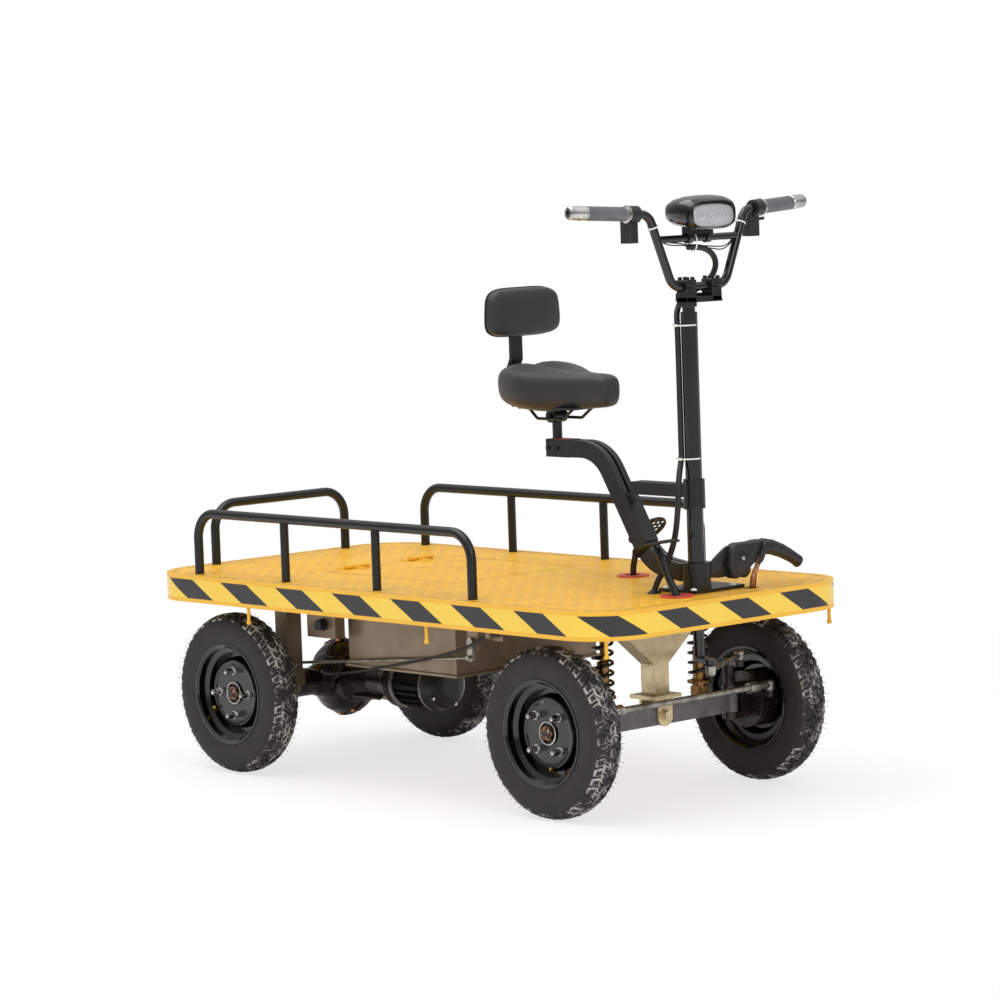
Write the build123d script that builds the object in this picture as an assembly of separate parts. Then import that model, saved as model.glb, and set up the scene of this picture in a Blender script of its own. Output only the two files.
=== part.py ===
"""Electric platform truck: a ride-on flat deck on four 10 inch wheels.

Frame of the part: the origin is on the floor under the centre of the deck, +X points forward to the
handlebar, +Y to the driver's left and +Z up. All sizes are millimetres. Every sub-part is one node,
written as one STEP file, and like pieces come from loops over the short tables below.
"""
from build123d import *
import math
import os

# Deck: the checker plate lies inside a folded edge, level with its top flange
DECK_LENGTH = 1800
DECK_WIDTH = 900
DECK_CORNER = 146
DECK_TOP = 536
PLATE = 4
SKIRT_HEIGHT = 72
SKIRT_WALL = 3
SKIRT_LIP = 14
TOP_FLANGE = 22
PLATE_SEAM = 1.5
PLATE_LEDGE = 14

# Hatch over the batteries
HATCH_REAR = -430
HATCH_FRONT = 70
HATCH_RIGHT = -190
HATCH_LEFT = 242
HATCH_GAP = 5
HATCH_FOLD = 18
HINGE_PIN = 3
HINGE_BARREL = 6
HINGE_LEAF = 2.5
BARREL_LENGTH = 28
BARREL_GAP = 0.5

# Frame of square tube under the deck
FRAME_SIDE = 50
FRAME_WALL = 3
FRAME_Y = 320
FRAME_HALF_LENGTH = 855

# Wheels, all four alike
WHEELBASE = 1235
TRACK = 730
TYRE_RADIUS = 216
RIM_RADIUS = 128
BEAD_RADIUS = 128.3
RIM_FLANGE = 136
LUG_CIRCLE = 59.6
LUG_COUNT = 4
LUG_STUD = 5
LUG_NUT = 8.5
LUG_COLLAR = 11
SPINDLE = 15
RUNNING_FIT = 0.05

# Steering
COLUMN_X = 772
COLUMN_TUBE = 21
SHAFT = 14
COLLAR_FIT = 0.1
LOWER_COLLAR = 35.5
UPPER_COLLAR = 27
KINGPIN_Y = 262
KINGPIN = 9
PITMAN_BALL = (828, -18)
KNUCKLE_BALL = (697, 220)
DRAG_LINK_Z = 346
SHAFT_FOOT_Z = 362
TIE_BALL_X = 720
TIE_BALL_Y = 305
TIE_ROD_Z = 262
BALL_HOUSING = 13

# Rails on the deck
RAIL_TUBE = 12.5
RAIL_RISE = 166
RAIL_BEND = 70
RAIL_SIDE_Y = 407
RAIL_POSTS_X = (-713, -347, 20, 386)
REAR_RAIL_X = -860
REAR_RAIL_Y = 233

# Seat
SEAT_TUBES_Y = (-13, 13)
SEAT_TUBE_HEIGHT = 44
SEAT_TUBE_WIDTH = 18
SEAT_HALF_WIDTH = 22
POST_X = 282
POST_RADIUS = 12.7

# Handlebar
BAR_X = 810
BAR_TUBE = 11
GRIP_X = 782
GRIP_Z = 1496
GRIP_END_Y = 410
CLAMP_Y = 44
BAR_FOOT_Z = 1300
CROSSBAR_Z = 1420
CROSSBAR = 9

SIDES = (-1, 1)
AXLE_Z = TYRE_RADIUS
FRONT_X = WHEELBASE / 2
REAR_X = -WHEELBASE / 2
WHEEL_Y = TRACK / 2
SKIRT_BOTTOM = DECK_TOP - SKIRT_HEIGHT
UNDER_PLATE = DECK_TOP - PLATE
PLATE_INSET = TOP_FLANGE + PLATE_SEAM
FRAME_Z = UNDER_PLATE - FRAME_SIDE / 2
UNDER_FRAME = UNDER_PLATE - FRAME_SIDE


def block(x0, x1, y0, y1, z0, z1):
    """Box between two corners, given in any order."""
    size = (abs(x1 - x0), abs(y1 - y0), abs(z1 - z0))
    return Pos((x0 + x1) / 2, (y0 + y1) / 2, (z0 + z1) / 2) * Box(*size)


def rod(start, end, radius):
    """Round bar between two points."""
    along = Vector(*end) - Vector(*start)
    return Solid.make_cylinder(radius, along.length, Plane(origin=start, z_dir=along))


def upright(x, y, z0, z1, radius):
    """Round bar that stands upright."""
    return rod((x, y, z0), (x, y, z1), radius)


def square_tube(start, end, side, wall):
    """Level square tube between two points."""
    along = Vector(*end) - Vector(*start)
    place = Plane(origin=start, x_dir=(0, 0, 1), z_dir=along)
    section = Rectangle(side, side) - Rectangle(side - 2 * wall, side - 2 * wall)
    return extrude(place * section, along.length)


def bent_rod(points, radii, radius):
    """Round bar along straight runs joined by arcs."""
    path = FilletPolyline(*points, radius=radii)
    return sweep(Plane(origin=path @ 0, z_dir=path % 0) * Circle(radius), path=path)


def flat_arm(start, end, width, low, high):
    """Flat forged arm with round ends, from one (x, y) point to the next."""
    run = Vector(*end) - Vector(*start)
    middle = (Vector(*start) + Vector(*end)) / 2
    outline = Rot(0, 0, math.degrees(math.atan2(run.Y, run.X))) * SlotCenterToCenter(run.length, width)
    return extrude(Pos(middle.X, middle.Y, low) * outline, high - low)


def turned(profile, centre, axis):
    """Solid turned from (along, radius) points about an axis through `centre`."""
    side = Vector(0, 0, 1) if abs(axis[2]) < 0.9 else Vector(1, 0, 0)
    place = Plane(origin=centre, x_dir=side, z_dir=Vector(*axis))
    wire = Polyline(*[(radius, 0, along) for along, radius in profile], close=True)
    return place * revolve(make_face(wire), Axis.Z)


def side_profile(points, y0, y1):
    """Plate cut from an outline of (x, z) points, standing along the truck from y0 to y1."""
    outline = make_face(Polyline(*points, close=True))
    return extrude(Plane(origin=(0, y1, 0), x_dir=(1, 0, 0), z_dir=(0, -1, 0)) * outline, y1 - y0)


def cross_profile(points, x0, x1):
    """Plate cut from an outline of (y, z) points, standing across the truck from x0 to x1."""
    outline = make_face(Polyline(*points, close=True))
    return extrude(Plane(origin=(x0, 0, 0), x_dir=(0, 1, 0), z_dir=(1, 0, 0)) * outline, x1 - x0)


def side_arm(start, end, width, y0, y1):
    """Flat arm with round ends that stands along the truck, from one (x, z) point to the next."""
    return Rot(90, 0, 0) * flat_arm(start, end, width, -y1, -y0)


def cord(points, radius):
    """Round cord along its points: straight runs joined by arcs as large as the runs beside them allow."""
    spots = [Vector(*point) for point in points]
    radii = []
    for before, corner, after in zip(spots, spots[1:], spots[2:]):
        arriving = corner - before
        leaving = after - corner
        half_turn = math.radians(arriving.get_angle(leaving)) / 2
        radii.append(0.45 * min(arriving.length, leaving.length) / math.tan(half_turn))
    tube = bent_rod(points, radii, radius)
    print("cord radii", [round(value) for value in radii])
    return tube


def mirrored(shape):
    """The same shape on the other side of the deck's centre plane."""
    return mirror(shape, about=Plane.XZ)


def save(name, *pieces):
    """Write one node; its solids don't touch each other."""
    shape = pieces[0] if len(pieces) == 1 else Compound(children=list(pieces))
    export_step(shape, f"parts/{name}.step")


def deck_outline(inset=0):
    """Rounded outline of the deck, drawn in by `inset`."""
    return RectangleRounded(DECK_LENGTH - 2 * inset, DECK_WIDTH - 2 * inset, DECK_CORNER - inset)


# Holes in the deck plate: x, y and radius
DECK_HOLES = (
    (COLUMN_X, 0, COLUMN_TUBE + 6),
    (816, 140, 25),
    (693, -73, 14),
    (793, -93, 22),
    (374, 166, 22),
)


def make_deck():
    """Top plate with the hatch opening and the holes for column, brake arm, loom and pedals."""
    plate = extrude(Pos(0, 0, UNDER_PLATE) * deck_outline(PLATE_INSET), PLATE)
    plate -= block(HATCH_REAR - HATCH_GAP, HATCH_FRONT + HATCH_GAP, HATCH_RIGHT - HATCH_GAP,
                   HATCH_LEFT + HATCH_GAP, UNDER_PLATE - 1, DECK_TOP + 1)
    for x, y, radius in DECK_HOLES:
        plate -= upright(x, y, UNDER_PLATE - 1, DECK_TOP + 1, radius)
    return plate


# Folds of the edge from the outside in: inset of its outer and inner outline, low and high z
SKIRT_FOLDS = (
    (0, SKIRT_WALL, SKIRT_BOTTOM, DECK_TOP),
    (0, SKIRT_LIP, SKIRT_BOTTOM, SKIRT_BOTTOM + SKIRT_WALL),
    (0, TOP_FLANGE, DECK_TOP - SKIRT_WALL, DECK_TOP),
    (TOP_FLANGE - SKIRT_WALL, TOP_FLANGE, UNDER_PLATE - SKIRT_WALL, DECK_TOP),
    (TOP_FLANGE - SKIRT_WALL, TOP_FLANGE + PLATE_LEDGE, UNDER_PLATE - SKIRT_WALL, UNDER_PLATE),
)


def make_skirt():
    """Folded edge round the deck: lip, upright wall, top flange and the ledge that the plate lies on."""
    folds = []
    for outer, inner, low, high in SKIRT_FOLDS:
        ring = deck_outline(outer) - deck_outline(inner)
        folds.append(extrude(Pos(0, 0, low) * ring, high - low))
    return folds[0].fuse(*folds[1:]).clean()


# Tie-down pegs under the lip: x and y, with their mirror images
PEG_PLACES = ((-465, 443), (247, 443), (850, 396))
PEG_SHANK = 4.5
PEG_FOOT = 6.5
PEG_DROP = 45


def make_pegs():
    """Welded pegs that a strap hooks on, each with a knob at its foot."""
    pegs = []
    for x, y in PEG_PLACES:
        for side in SIDES:
            profile = ((0, 0), (0, 8), (3, PEG_SHANK), (PEG_DROP - 10, PEG_SHANK), (PEG_DROP - 7, PEG_FOOT),
                       (PEG_DROP - 2, PEG_FOOT), (PEG_DROP, PEG_FOOT - 2), (PEG_DROP, 0))
            pegs.append(turned(profile, (x, side * y, SKIRT_BOTTOM), (0, 0, -1)))
    return pegs


# Hinges along the hatch's rear edge: centre y
HATCH_HINGES_Y = (-90, 140)
HINGE_Z = DECK_TOP + HINGE_BARREL
HINGE_X = HATCH_REAR - HATCH_GAP / 2


def make_hatch():
    """Lid plate with folds below its free edges and a hinge barrel at each hinge."""
    lid = block(HATCH_REAR, HATCH_FRONT, HATCH_RIGHT, HATCH_LEFT, UNDER_PLATE, DECK_TOP)
    low, high = UNDER_PLATE - HATCH_FOLD, UNDER_PLATE
    front, right, left = HATCH_FRONT - 12, HATCH_RIGHT + 12, HATCH_LEFT - 12
    lid += block(front - 3, front, right, left, low, high)
    lid += block(HATCH_REAR + 132, front, right, right + 3, low, high)
    lid += block(HATCH_REAR + 132, front, left - 3, left, low, high)
    for y in HATCH_HINGES_Y:
        y0, y1 = y - BARREL_LENGTH / 2, y + BARREL_LENGTH / 2
        barrel = rod((HINGE_X, y0, HINGE_Z), (HINGE_X, y1, HINGE_Z), HINGE_BARREL)
        leaf = block(HATCH_REAR + 4, HATCH_REAR + 34, y0, y1, DECK_TOP, DECK_TOP + HINGE_LEAF)
        strap = block(HINGE_X + 2, HATCH_REAR + 6, y0, y1, HINGE_Z - 4, HINGE_Z - 1)
        bore = rod((HINGE_X, y0 - 1, HINGE_Z), (HINGE_X, y1 + 1, HINGE_Z), HINGE_PIN + RUNNING_FIT)
        lid += barrel + leaf + strap - bore
    return lid


def make_hatch_hinges():
    """Fixed halves of the hatch hinges: pin, two barrels and their leaves on the deck."""
    hinges = []
    reach = 1.5 * BARREL_LENGTH + BARREL_GAP
    for y in HATCH_HINGES_Y:
        hinge = rod((HINGE_X, y - reach, HINGE_Z), (HINGE_X, y + reach, HINGE_Z), HINGE_PIN)
        for side in SIDES:
            near = y + side * (BARREL_LENGTH / 2 + BARREL_GAP)
            far = y + side * reach
            hinge += rod((HINGE_X, min(near, far), HINGE_Z), (HINGE_X, max(near, far), HINGE_Z), HINGE_BARREL)
            hinge += block(HINGE_X - 40, HINGE_X, near, far, DECK_TOP, DECK_TOP + HINGE_LEAF)
        hinges.append(hinge)
    return hinges


# Cross members of square tube: centre x, and the flat bar that closes the frame in front
CROSS_X = (-835, -600, -330, 180, 612)
FRONT_BAR = (850, 862)


def make_side_members():
    """Two long square tubes under the deck."""
    members = []
    for side in SIDES:
        y = side * FRAME_Y
        rear = (-FRAME_HALF_LENGTH, y, FRAME_Z)
        members.append(square_tube(rear, (FRAME_HALF_LENGTH, y, FRAME_Z), FRAME_SIDE, FRAME_WALL))
    return members


def make_cross_members():
    """Square tubes across, between the long members, and the front bar."""
    inner = FRAME_Y - FRAME_SIDE / 2
    tubes = [square_tube((x, -inner, FRAME_Z), (x, inner, FRAME_Z), FRAME_SIDE, FRAME_WALL) for x in CROSS_X]
    return tubes + [block(*FRONT_BAR, -inner, inner, UNDER_FRAME, UNDER_PLATE)]


def make_side_rail():
    """Right-hand rail: a bent tube with two posts welded under it."""
    z = DECK_TOP + RAIL_RISE
    y = -RAIL_SIDE_Y
    first, *posts, last = RAIL_POSTS_X
    rail = bent_rod([(first, y, DECK_TOP), (first, y, z), (last, y, z), (last, y, DECK_TOP)],
                    [RAIL_BEND, RAIL_BEND], RAIL_TUBE)
    for x in posts:
        rail += upright(x, y, DECK_TOP, z, RAIL_TUBE - 1)
    return rail


def make_rear_rail():
    """Rail across the rear edge."""
    z = DECK_TOP + RAIL_RISE
    x, y = REAR_RAIL_X, REAR_RAIL_Y
    points = [(x, -y, DECK_TOP), (x, -y, z), (x, y, z), (x, y, DECK_TOP)]
    return bent_rod(points, [RAIL_BEND, RAIL_BEND], RAIL_TUBE)


# Tyre section: across from the middle, radius
TYRE_SECTION = (
    (-36, BEAD_RADIUS), (-40, 137), (-46, 158), (-46, 180), (-41, 198), (-31, 210), (-14, TYRE_RADIUS),
    (14, TYRE_RADIUS), (31, 210), (41, 198), (46, 180), (46, 158), (40, 137), (36, BEAD_RADIUS),
)
TYRE_FACETS = 48

# Rim section, across from the wheel's middle towards the outside and radius: barrel, then the dished disc
RIM_SECTION = (
    (43, RIM_FLANGE), (40, RIM_FLANGE), (36, RIM_RADIUS), (19, RIM_RADIUS), (13, 114.5), (-13, 114.5),
    (-19, RIM_RADIUS), (-36, RIM_RADIUS), (-40, RIM_FLANGE), (-43, RIM_FLANGE), (-43, 131), (-38, 125),
    (-20, 125), (-14, 111.5), (-11.5, 111.5), (-11.5, 97), (4, 90), (10, 84), (10, 31), (14, 31), (14, 76),
    (17, 80), (18, 85), (16, 89), (8, 94), (-8, 98), (-8, 111.5), (13, 111.5), (19, 125), (38, 125),
    (43, 131),
)

# Hub section, the same way: brake drum, face for the disc and the nose with its bearing recess
HUB_SECTION = (
    (-44, SPINDLE + RUNNING_FIT), (-44, 60), (-38, 74), (3, 74), (10, 70), (10, 30.5), (18, 30.5), (19, 29),
    (19, 26), (13, 24), (13, SPINDLE + RUNNING_FIT),
)
DISC_FACE = 14
LUG_END = 45


def facet_corners(across, radius, centre, side):
    """Corners of one ring of facets about the wheel's axis."""
    x, y, z = centre
    turns = [2 * math.pi * k / TYRE_FACETS for k in range(TYRE_FACETS)]
    return [(x + radius * math.cos(a), y + side * across, z + radius * math.sin(a)) for a in turns]


def make_tyre(x, side):
    """Tyre in flat facets, plain to the tips of its tread blocks."""
    centre = (x, side * WHEEL_Y, AXLE_Z)
    rings = [facet_corners(across, radius, centre, side) for across, radius in TYRE_SECTION]
    facets = []
    for ring, following in zip(rings, rings[1:] + rings[:1]):
        for k in range(TYRE_FACETS):
            after = (k + 1) % TYRE_FACETS
            corners = (ring[k], ring[after], following[after], following[k])
            facets.append(make_face(Polyline(*corners, close=True)))
    return Solid(Shell(facets))


def lug_places(x, turn):
    """(x, z) of each lug stud on its circle."""
    angles = [math.radians(turn + 360 / LUG_COUNT * k) for k in range(LUG_COUNT)]
    return [(x + LUG_CIRCLE * math.cos(a), AXLE_Z + LUG_CIRCLE * math.sin(a)) for a in angles]


def make_rim(x, side, turn):
    """Pressed steel rim with a drop centre, a dished disc and a hole for each lug stud."""
    rim = turned(RIM_SECTION, (x, side * WHEEL_Y, AXLE_Z), (0, side, 0))
    for lug_x, lug_z in lug_places(x, turn):
        rim -= rod((lug_x, side * WHEEL_Y, lug_z), (lug_x, side * (WHEEL_Y + 25), lug_z), LUG_STUD)
    return rim


def make_hub(x, side, turn):
    """Brake drum and hub in one, with its four long lug nuts."""
    hub = turned(HUB_SECTION, (x, side * WHEEL_Y, AXLE_Z), (0, side, 0))
    # Stud through the disc and its collar: across, radius
    seat = (
        (4, 0), (4, LUG_STUD), (DISC_FACE, LUG_STUD), (DISC_FACE, LUG_COLLAR),
        (DISC_FACE + 5, LUG_COLLAR - 1.5), (DISC_FACE + 6, 0),
    )
    for lug_x, lug_z in lug_places(x, turn):
        hub += turned(seat, (lug_x, side * WHEEL_Y, lug_z), (0, side, 0))
        place = Plane(origin=(lug_x, side * (WHEEL_Y + DISC_FACE + 4), lug_z), z_dir=(0, side, 0))
        hub += extrude(place * RegularPolygon(LUG_NUT, 6), LUG_END - DISC_FACE - 4)
    return hub


def make_spindle_nut(x, side):
    """Slotted nut on the end of a spindle."""
    end = WHEEL_Y + DISC_FACE
    place = Plane(origin=(x, side * end, AXLE_Z), z_dir=(0, side, 0))
    thread = rod((x, side * (end - 2), AXLE_Z), (x, side * (end + 17), AXLE_Z), 9)
    collar = rod((x, side * end, AXLE_Z), (x, side * (end + 13), AXLE_Z), 13)
    return thread + collar + extrude(place * RegularPolygon(19, 6), 9)


# Brake gear on the right: the rod from the crank back to the drum's lever
BRAKE_ROD_Y = -265
BRAKE_ROD = 4
CRANK = (205, 359)
CRANK_PIVOT = (205, 400)
DRUM_LEVER = (-505, 293)
DRUM_PIVOT = (-568, 250)
STRAP_Y = (-251, -247)
SHEAVE = (-510, 262)
SHEAVE_Y = -131

# Straps from the right long member: centre x and foot z
STRAP_PLACES = ((205, 376), (300, 408))
CABLE_STOP = (300, -276, 428)
CABLE = 3.5

# Rear axle and drive
AXLE_TUBE = 38
BACKPLATE = 74
BACKPLATE_Y = WHEEL_Y - 46
DIFF_Y = 10
NECK_LENGTH = 262
MOTOR_RADIUS = 70
MOTOR_Z = 222
MOTOR_START = REAR_X + NECK_LENGTH
FIN_COUNT = 20

# Differential, from its right to its left side: across from its middle, radius
DIFF_SECTION = (
    (-72, 0), (-72, 48), (-66, 66), (-50, 88), (-30, 99), (-14, 102), (-14, 108), (-4, 108), (-4, 103),
    (20, 101), (46, 88), (64, 62), (70, 44), (70, 0),
)
# Gearbox neck from the differential forwards: along, radius
NECK_SECTION = (
    (0, 0), (0, 84), (70, 80), (104, 62), (150, 56), (206, 60), (230, 66), (240, 72), (NECK_LENGTH, 72),
    (NECK_LENGTH, 0),
)
# Motor from its flange ring to its end bell: along, radius
MOTOR_SECTION = (
    (0, 0), (0, 71), (12, 71), (15, 59), (118, 59), (121, 71), (132, 71), (140, 66), (164, 62), (172, 50),
    (176, 30), (176, 0),
)
FIN_FROM = 20
FIN_TO = 114


def make_rear_axle():
    """Axle tube, differential with its flange, ribbed gearbox neck, backplates and spindles."""
    tube = rod((REAR_X, 8 - BACKPLATE_Y, AXLE_Z), (REAR_X, BACKPLATE_Y - 8, AXLE_Z), AXLE_TUBE)
    belly = turned(DIFF_SECTION, (REAR_X, DIFF_Y, AXLE_Z), (0, 1, 0))
    neck = turned(NECK_SECTION, (REAR_X, DIFF_Y, MOTOR_Z), (1, 0, 0))
    axle = tube + belly + neck
    for turn in range(4):
        rib = block(REAR_X + 60, REAR_X + 200, DIFF_Y - 4, DIFF_Y + 4, MOTOR_Z + 40, MOTOR_Z + 70)
        axle += rib.rotate(Axis((REAR_X, DIFF_Y, MOTOR_Z), (1, 0, 0)), 45 + 90 * turn)
    for side in SIDES:
        flare = ((0, 38), (0, 46), (20, 52), (60, AXLE_TUBE + 1), (60, 30))
        axle += turned(flare, (REAR_X, DIFF_Y + side * 60, AXLE_Z), (0, side, 0))
        back = side * BACKPLATE_Y
        inner = back - side * 10
        axle += rod((REAR_X, inner, AXLE_Z), (REAR_X, back, AXLE_Z), BACKPLATE)
        axle += rod((REAR_X, inner, AXLE_Z), (REAR_X, side * (WHEEL_Y + DISC_FACE), AXLE_Z), SPINDLE)
        axle += make_spindle_nut(REAR_X, side)
    sheave_x, sheave_z = SHEAVE
    carrier = block(REAR_X + 14, sheave_x + 4, SHEAVE_Y - 3, SHEAVE_Y + 3, AXLE_Z + 6, AXLE_Z + 36)
    sheave = rod((sheave_x, SHEAVE_Y - 4, sheave_z), (sheave_x, SHEAVE_Y + 4, sheave_z), 32)
    boss = rod((sheave_x, SHEAVE_Y - 15, sheave_z), (sheave_x, SHEAVE_Y, sheave_z), 7)
    return axle + carrier + sheave + boss


def make_motor():
    """Drive motor: finned body between its flange ring and its end bell."""
    motor = turned(MOTOR_SECTION, (MOTOR_START, DIFF_Y, MOTOR_Z), (1, 0, 0))
    low, high = MOTOR_Z + 55, MOTOR_Z + MOTOR_RADIUS
    fin = block(MOTOR_START + FIN_FROM, MOTOR_START + FIN_TO, DIFF_Y - 1.6, DIFF_Y + 1.6, low, high)
    axis = Axis((MOTOR_START, DIFF_Y, MOTOR_Z), (1, 0, 0))
    fins = [fin.rotate(axis, 360 / FIN_COUNT * k) for k in range(FIN_COUNT)]
    return motor.fuse(*fins)


HANGER_Y = 200


def make_rear_hangers():
    """Two upright square tubes saddled on the rear axle, each with a clamp strap round the tube."""
    hangers = []
    for side in SIDES:
        y = side * HANGER_Y
        post = block(REAR_X - 7, REAR_X + 43, y - 25, y + 25, AXLE_Z, UNDER_FRAME)
        pad = block(REAR_X - 44, REAR_X + 44, y - 30, y + 30, AXLE_Z + 4, AXLE_Z + AXLE_TUBE + 8)
        strap = rod((REAR_X, y - 15, AXLE_Z), (REAR_X, y + 15, AXLE_Z), AXLE_TUBE + 5)
        axle = rod((REAR_X, y - 40, AXLE_Z), (REAR_X, y + 40, AXLE_Z), AXLE_TUBE)
        hangers.append(post + pad + strap - axle)
    return hangers


# Front axle
BEAM = 50
BEAM_X = 612
BEAM_END_Y = KINGPIN_Y - 34
PIVOT = 10


def make_front_beam():
    """Square axle beam with a cast eye for the kingpin at each end."""
    half = BEAM / 2
    beam = block(BEAM_X - half, BEAM_X + half, -BEAM_END_Y, BEAM_END_Y, AXLE_Z - half, AXLE_Z + half)
    beam -= rod((BEAM_X - 60, 0, AXLE_Z), (BEAM_X + 60, 0, AXLE_Z), PIVOT + 0.2)
    for side in SIDES:
        y = side * KINGPIN_Y
        eye = upright(FRONT_X, y, AXLE_Z - 26, AXLE_Z + 26, 20)
        arm = block(BEAM_X - 20, BEAM_X + 20, side * (BEAM_END_Y - 10), y, AXLE_Z - 22, AXLE_Z + 22)
        beam += eye + arm
        beam -= upright(FRONT_X, y, AXLE_Z - 40, AXLE_Z + 40, KINGPIN + RUNNING_FIT)
    return beam


def make_axle_bracket():
    """Welded bracket from the deck frame down to the axle's centre pivot, with its yoke and bolt."""
    x0, x1 = BEAM_X - 25, BEAM_X + 25
    outline = (
        (-25, 268), (25, 268), (25, 345), (110, 415), (110, UNDER_FRAME), (-110, UNDER_FRAME), (-110, 415),
        (-25, 345),
    )
    head = cross_profile(outline, x0, x1)
    bracket = head + block(BEAM_X - 45, BEAM_X + 45, -48, 48, 258, 268)
    for side in SIDES:
        near = BEAM_X + side * (BEAM / 2 + 1)
        far = near + side * 8
        bracket += block(near, far, -25, 25, AXLE_Z - 4, 262)
        bracket += rod((min(near, far), 0, AXLE_Z - 4), (max(near, far), 0, AXLE_Z - 4), 25)
    pin = rod((BEAM_X - 42, 0, AXLE_Z), (BEAM_X + 42, 0, AXLE_Z), PIVOT)
    bolt = Plane(origin=(BEAM_X + 34, 0, AXLE_Z), z_dir=(1, 0, 0))
    washer = rod((BEAM_X + 34, 0, AXLE_Z), (BEAM_X + 37, 0, AXLE_Z), 18)
    return bracket + pin + washer + extrude(bolt * RegularPolygon(14, 6), 13)


# Coil springs and dampers
SPRING_X = 600
SPRING_Y = 170
SPRING_COIL = 25
SPRING_WIRE = 4
SPRING_TURNS = 6
SPRING_SEAT = AXLE_Z + BEAM / 2
LOW_CUP_Z = SPRING_SEAT + 40
TOP_CUP_Z = UNDER_FRAME - 40


def make_damper(side):
    """Damper from its clevis on the beam up to its rod, with the spring's two cups."""
    y = side * SPRING_Y
    clevis = block(SPRING_X - 14, SPRING_X + 14, y - 18, y + 18, SPRING_SEAT, SPRING_SEAT + 26)
    # Heights above the beam and radii
    profile = (
        (20, 0), (20, 15), (34, 15), (34, 30), (36, 31), (40, 31), (40, 19), (46, 15.5), (126, 15.5),
        (130, 7), (201, 7), (201, 31), (205, 31), (207, 24), (241, 24), (241, 0),
    )
    return clevis + turned(profile, (SPRING_X, y, SPRING_SEAT), (0, 0, 1))


def make_spring(side):
    """Coil spring round the damper, its wire drawn with eight sides."""
    low = LOW_CUP_Z + SPRING_WIRE + 0.2
    high = TOP_CUP_Z - SPRING_WIRE - 0.2
    helix = Helix(pitch=(high - low) / SPRING_TURNS, height=high - low, radius=SPRING_COIL,
                  center=(SPRING_X, side * SPRING_Y, low))
    wire = Plane(origin=helix @ 0, z_dir=helix % 0) * RegularPolygon(SPRING_WIRE, 8)
    return sweep(wire, path=helix, is_frenet=True)


def make_knuckle(side):
    """Steering knuckle: kingpin, fork, backplate, spindle and the arm to the tie rod."""
    y = side * KINGPIN_Y
    knuckle = upright(FRONT_X, y, AXLE_Z - 48, AXLE_Z + 52, KINGPIN)
    for low in (AXLE_Z - 44, AXLE_Z + 27):
        knuckle += upright(FRONT_X, y, low, low + 17, 21)
        knuckle += block(FRONT_X - 19, FRONT_X + 19, y, side * (KINGPIN_Y + 38), low, low + 17)
    web_out = side * BACKPLATE_Y
    knuckle += block(FRONT_X - 19, FRONT_X + 19, side * (KINGPIN_Y + 22), web_out, AXLE_Z - 44, AXLE_Z + 44)
    plate_in = side * (BACKPLATE_Y - 8)
    knuckle += rod((FRONT_X, plate_in, AXLE_Z), (FRONT_X, web_out, AXLE_Z), BACKPLATE)
    knuckle += rod((FRONT_X, plate_in, AXLE_Z), (FRONT_X, side * (WHEEL_Y + DISC_FACE), AXLE_Z), SPINDLE)
    knuckle += make_spindle_nut(FRONT_X, side)
    knuckle += flat_arm((FRONT_X, side * (KINGPIN_Y + 32)), (TIE_BALL_X, side * TIE_BALL_Y), 22, 232, 246)
    for angle in (35, 145, 215, 325):
        x = FRONT_X + 58 * math.cos(math.radians(angle))
        z = AXLE_Z + 58 * math.sin(math.radians(angle))
        place = Plane(origin=(x, plate_in, z), z_dir=(0, -side, 0))
        knuckle += extrude(place * RegularPolygon(7, 6), 6)
    return knuckle


def make_drag_arm():
    """Boss and arm on the left knuckle that the drag link pulls."""
    boss = upright(FRONT_X, KINGPIN_Y, AXLE_Z + 43, DRAG_LINK_Z - 14, 16)
    return boss + flat_arm((FRONT_X, KINGPIN_Y), KNUCKLE_BALL, 24, DRAG_LINK_Z - 28, DRAG_LINK_Z - 14)


def ball_end(x, y, low, high):
    """Ball joint housing with its slotted nut below the arm's side of it."""
    waist = (low + high) / 2
    foot, top = low - waist, high - waist
    profile = ((foot, 0), (foot, 10), (foot + 4, BALL_HOUSING), (top - 3, BALL_HOUSING), (top, 9), (top, 0))
    return turned(profile, (x, y, waist), (0, 0, 1))


def make_tie_rod():
    """Tie rod with a hexagon and a ball housing at each end, just above the knuckles' arms."""
    x = TIE_BALL_X
    bar = rod((x, 10 - TIE_BALL_Y, TIE_ROD_Z), (x, TIE_BALL_Y - 10, TIE_ROD_Z), 8)
    for side in SIDES:
        bar += ball_end(x, side * TIE_BALL_Y, 247, TIE_ROD_Z + 12)
        bar += rod((x, side * (TIE_BALL_Y - 46), TIE_ROD_Z), (x, side * (TIE_BALL_Y - 8), TIE_ROD_Z), 10)
        hexagon = Plane(origin=(x, side * (TIE_BALL_Y - 80), TIE_ROD_Z), z_dir=(0, side, 0))
        bar += extrude(hexagon * RegularPolygon(15, 6), 34)
    return bar


def make_drag_link():
    """Drag link from the column's arm to the left knuckle, with a ball housing at each end."""
    start = (*PITMAN_BALL, DRAG_LINK_Z)
    end = (*KNUCKLE_BALL, DRAG_LINK_Z)
    link = rod(start, end, 7)
    for x, y, z in (start, end):
        link += ball_end(x, y, z - 13, z + 13)
    return link


def make_column_base():
    """Base plate and the lower collar that the column turns in."""
    plate = block(676, 806, -40, 135, DECK_TOP, DECK_TOP + 9)
    collar = upright(COLUMN_X, 0, DECK_TOP, 612, LOWER_COLLAR)
    return plate + collar - upright(COLUMN_X, 0, DECK_TOP - 5, 620, COLUMN_TUBE + COLLAR_FIT)


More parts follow.
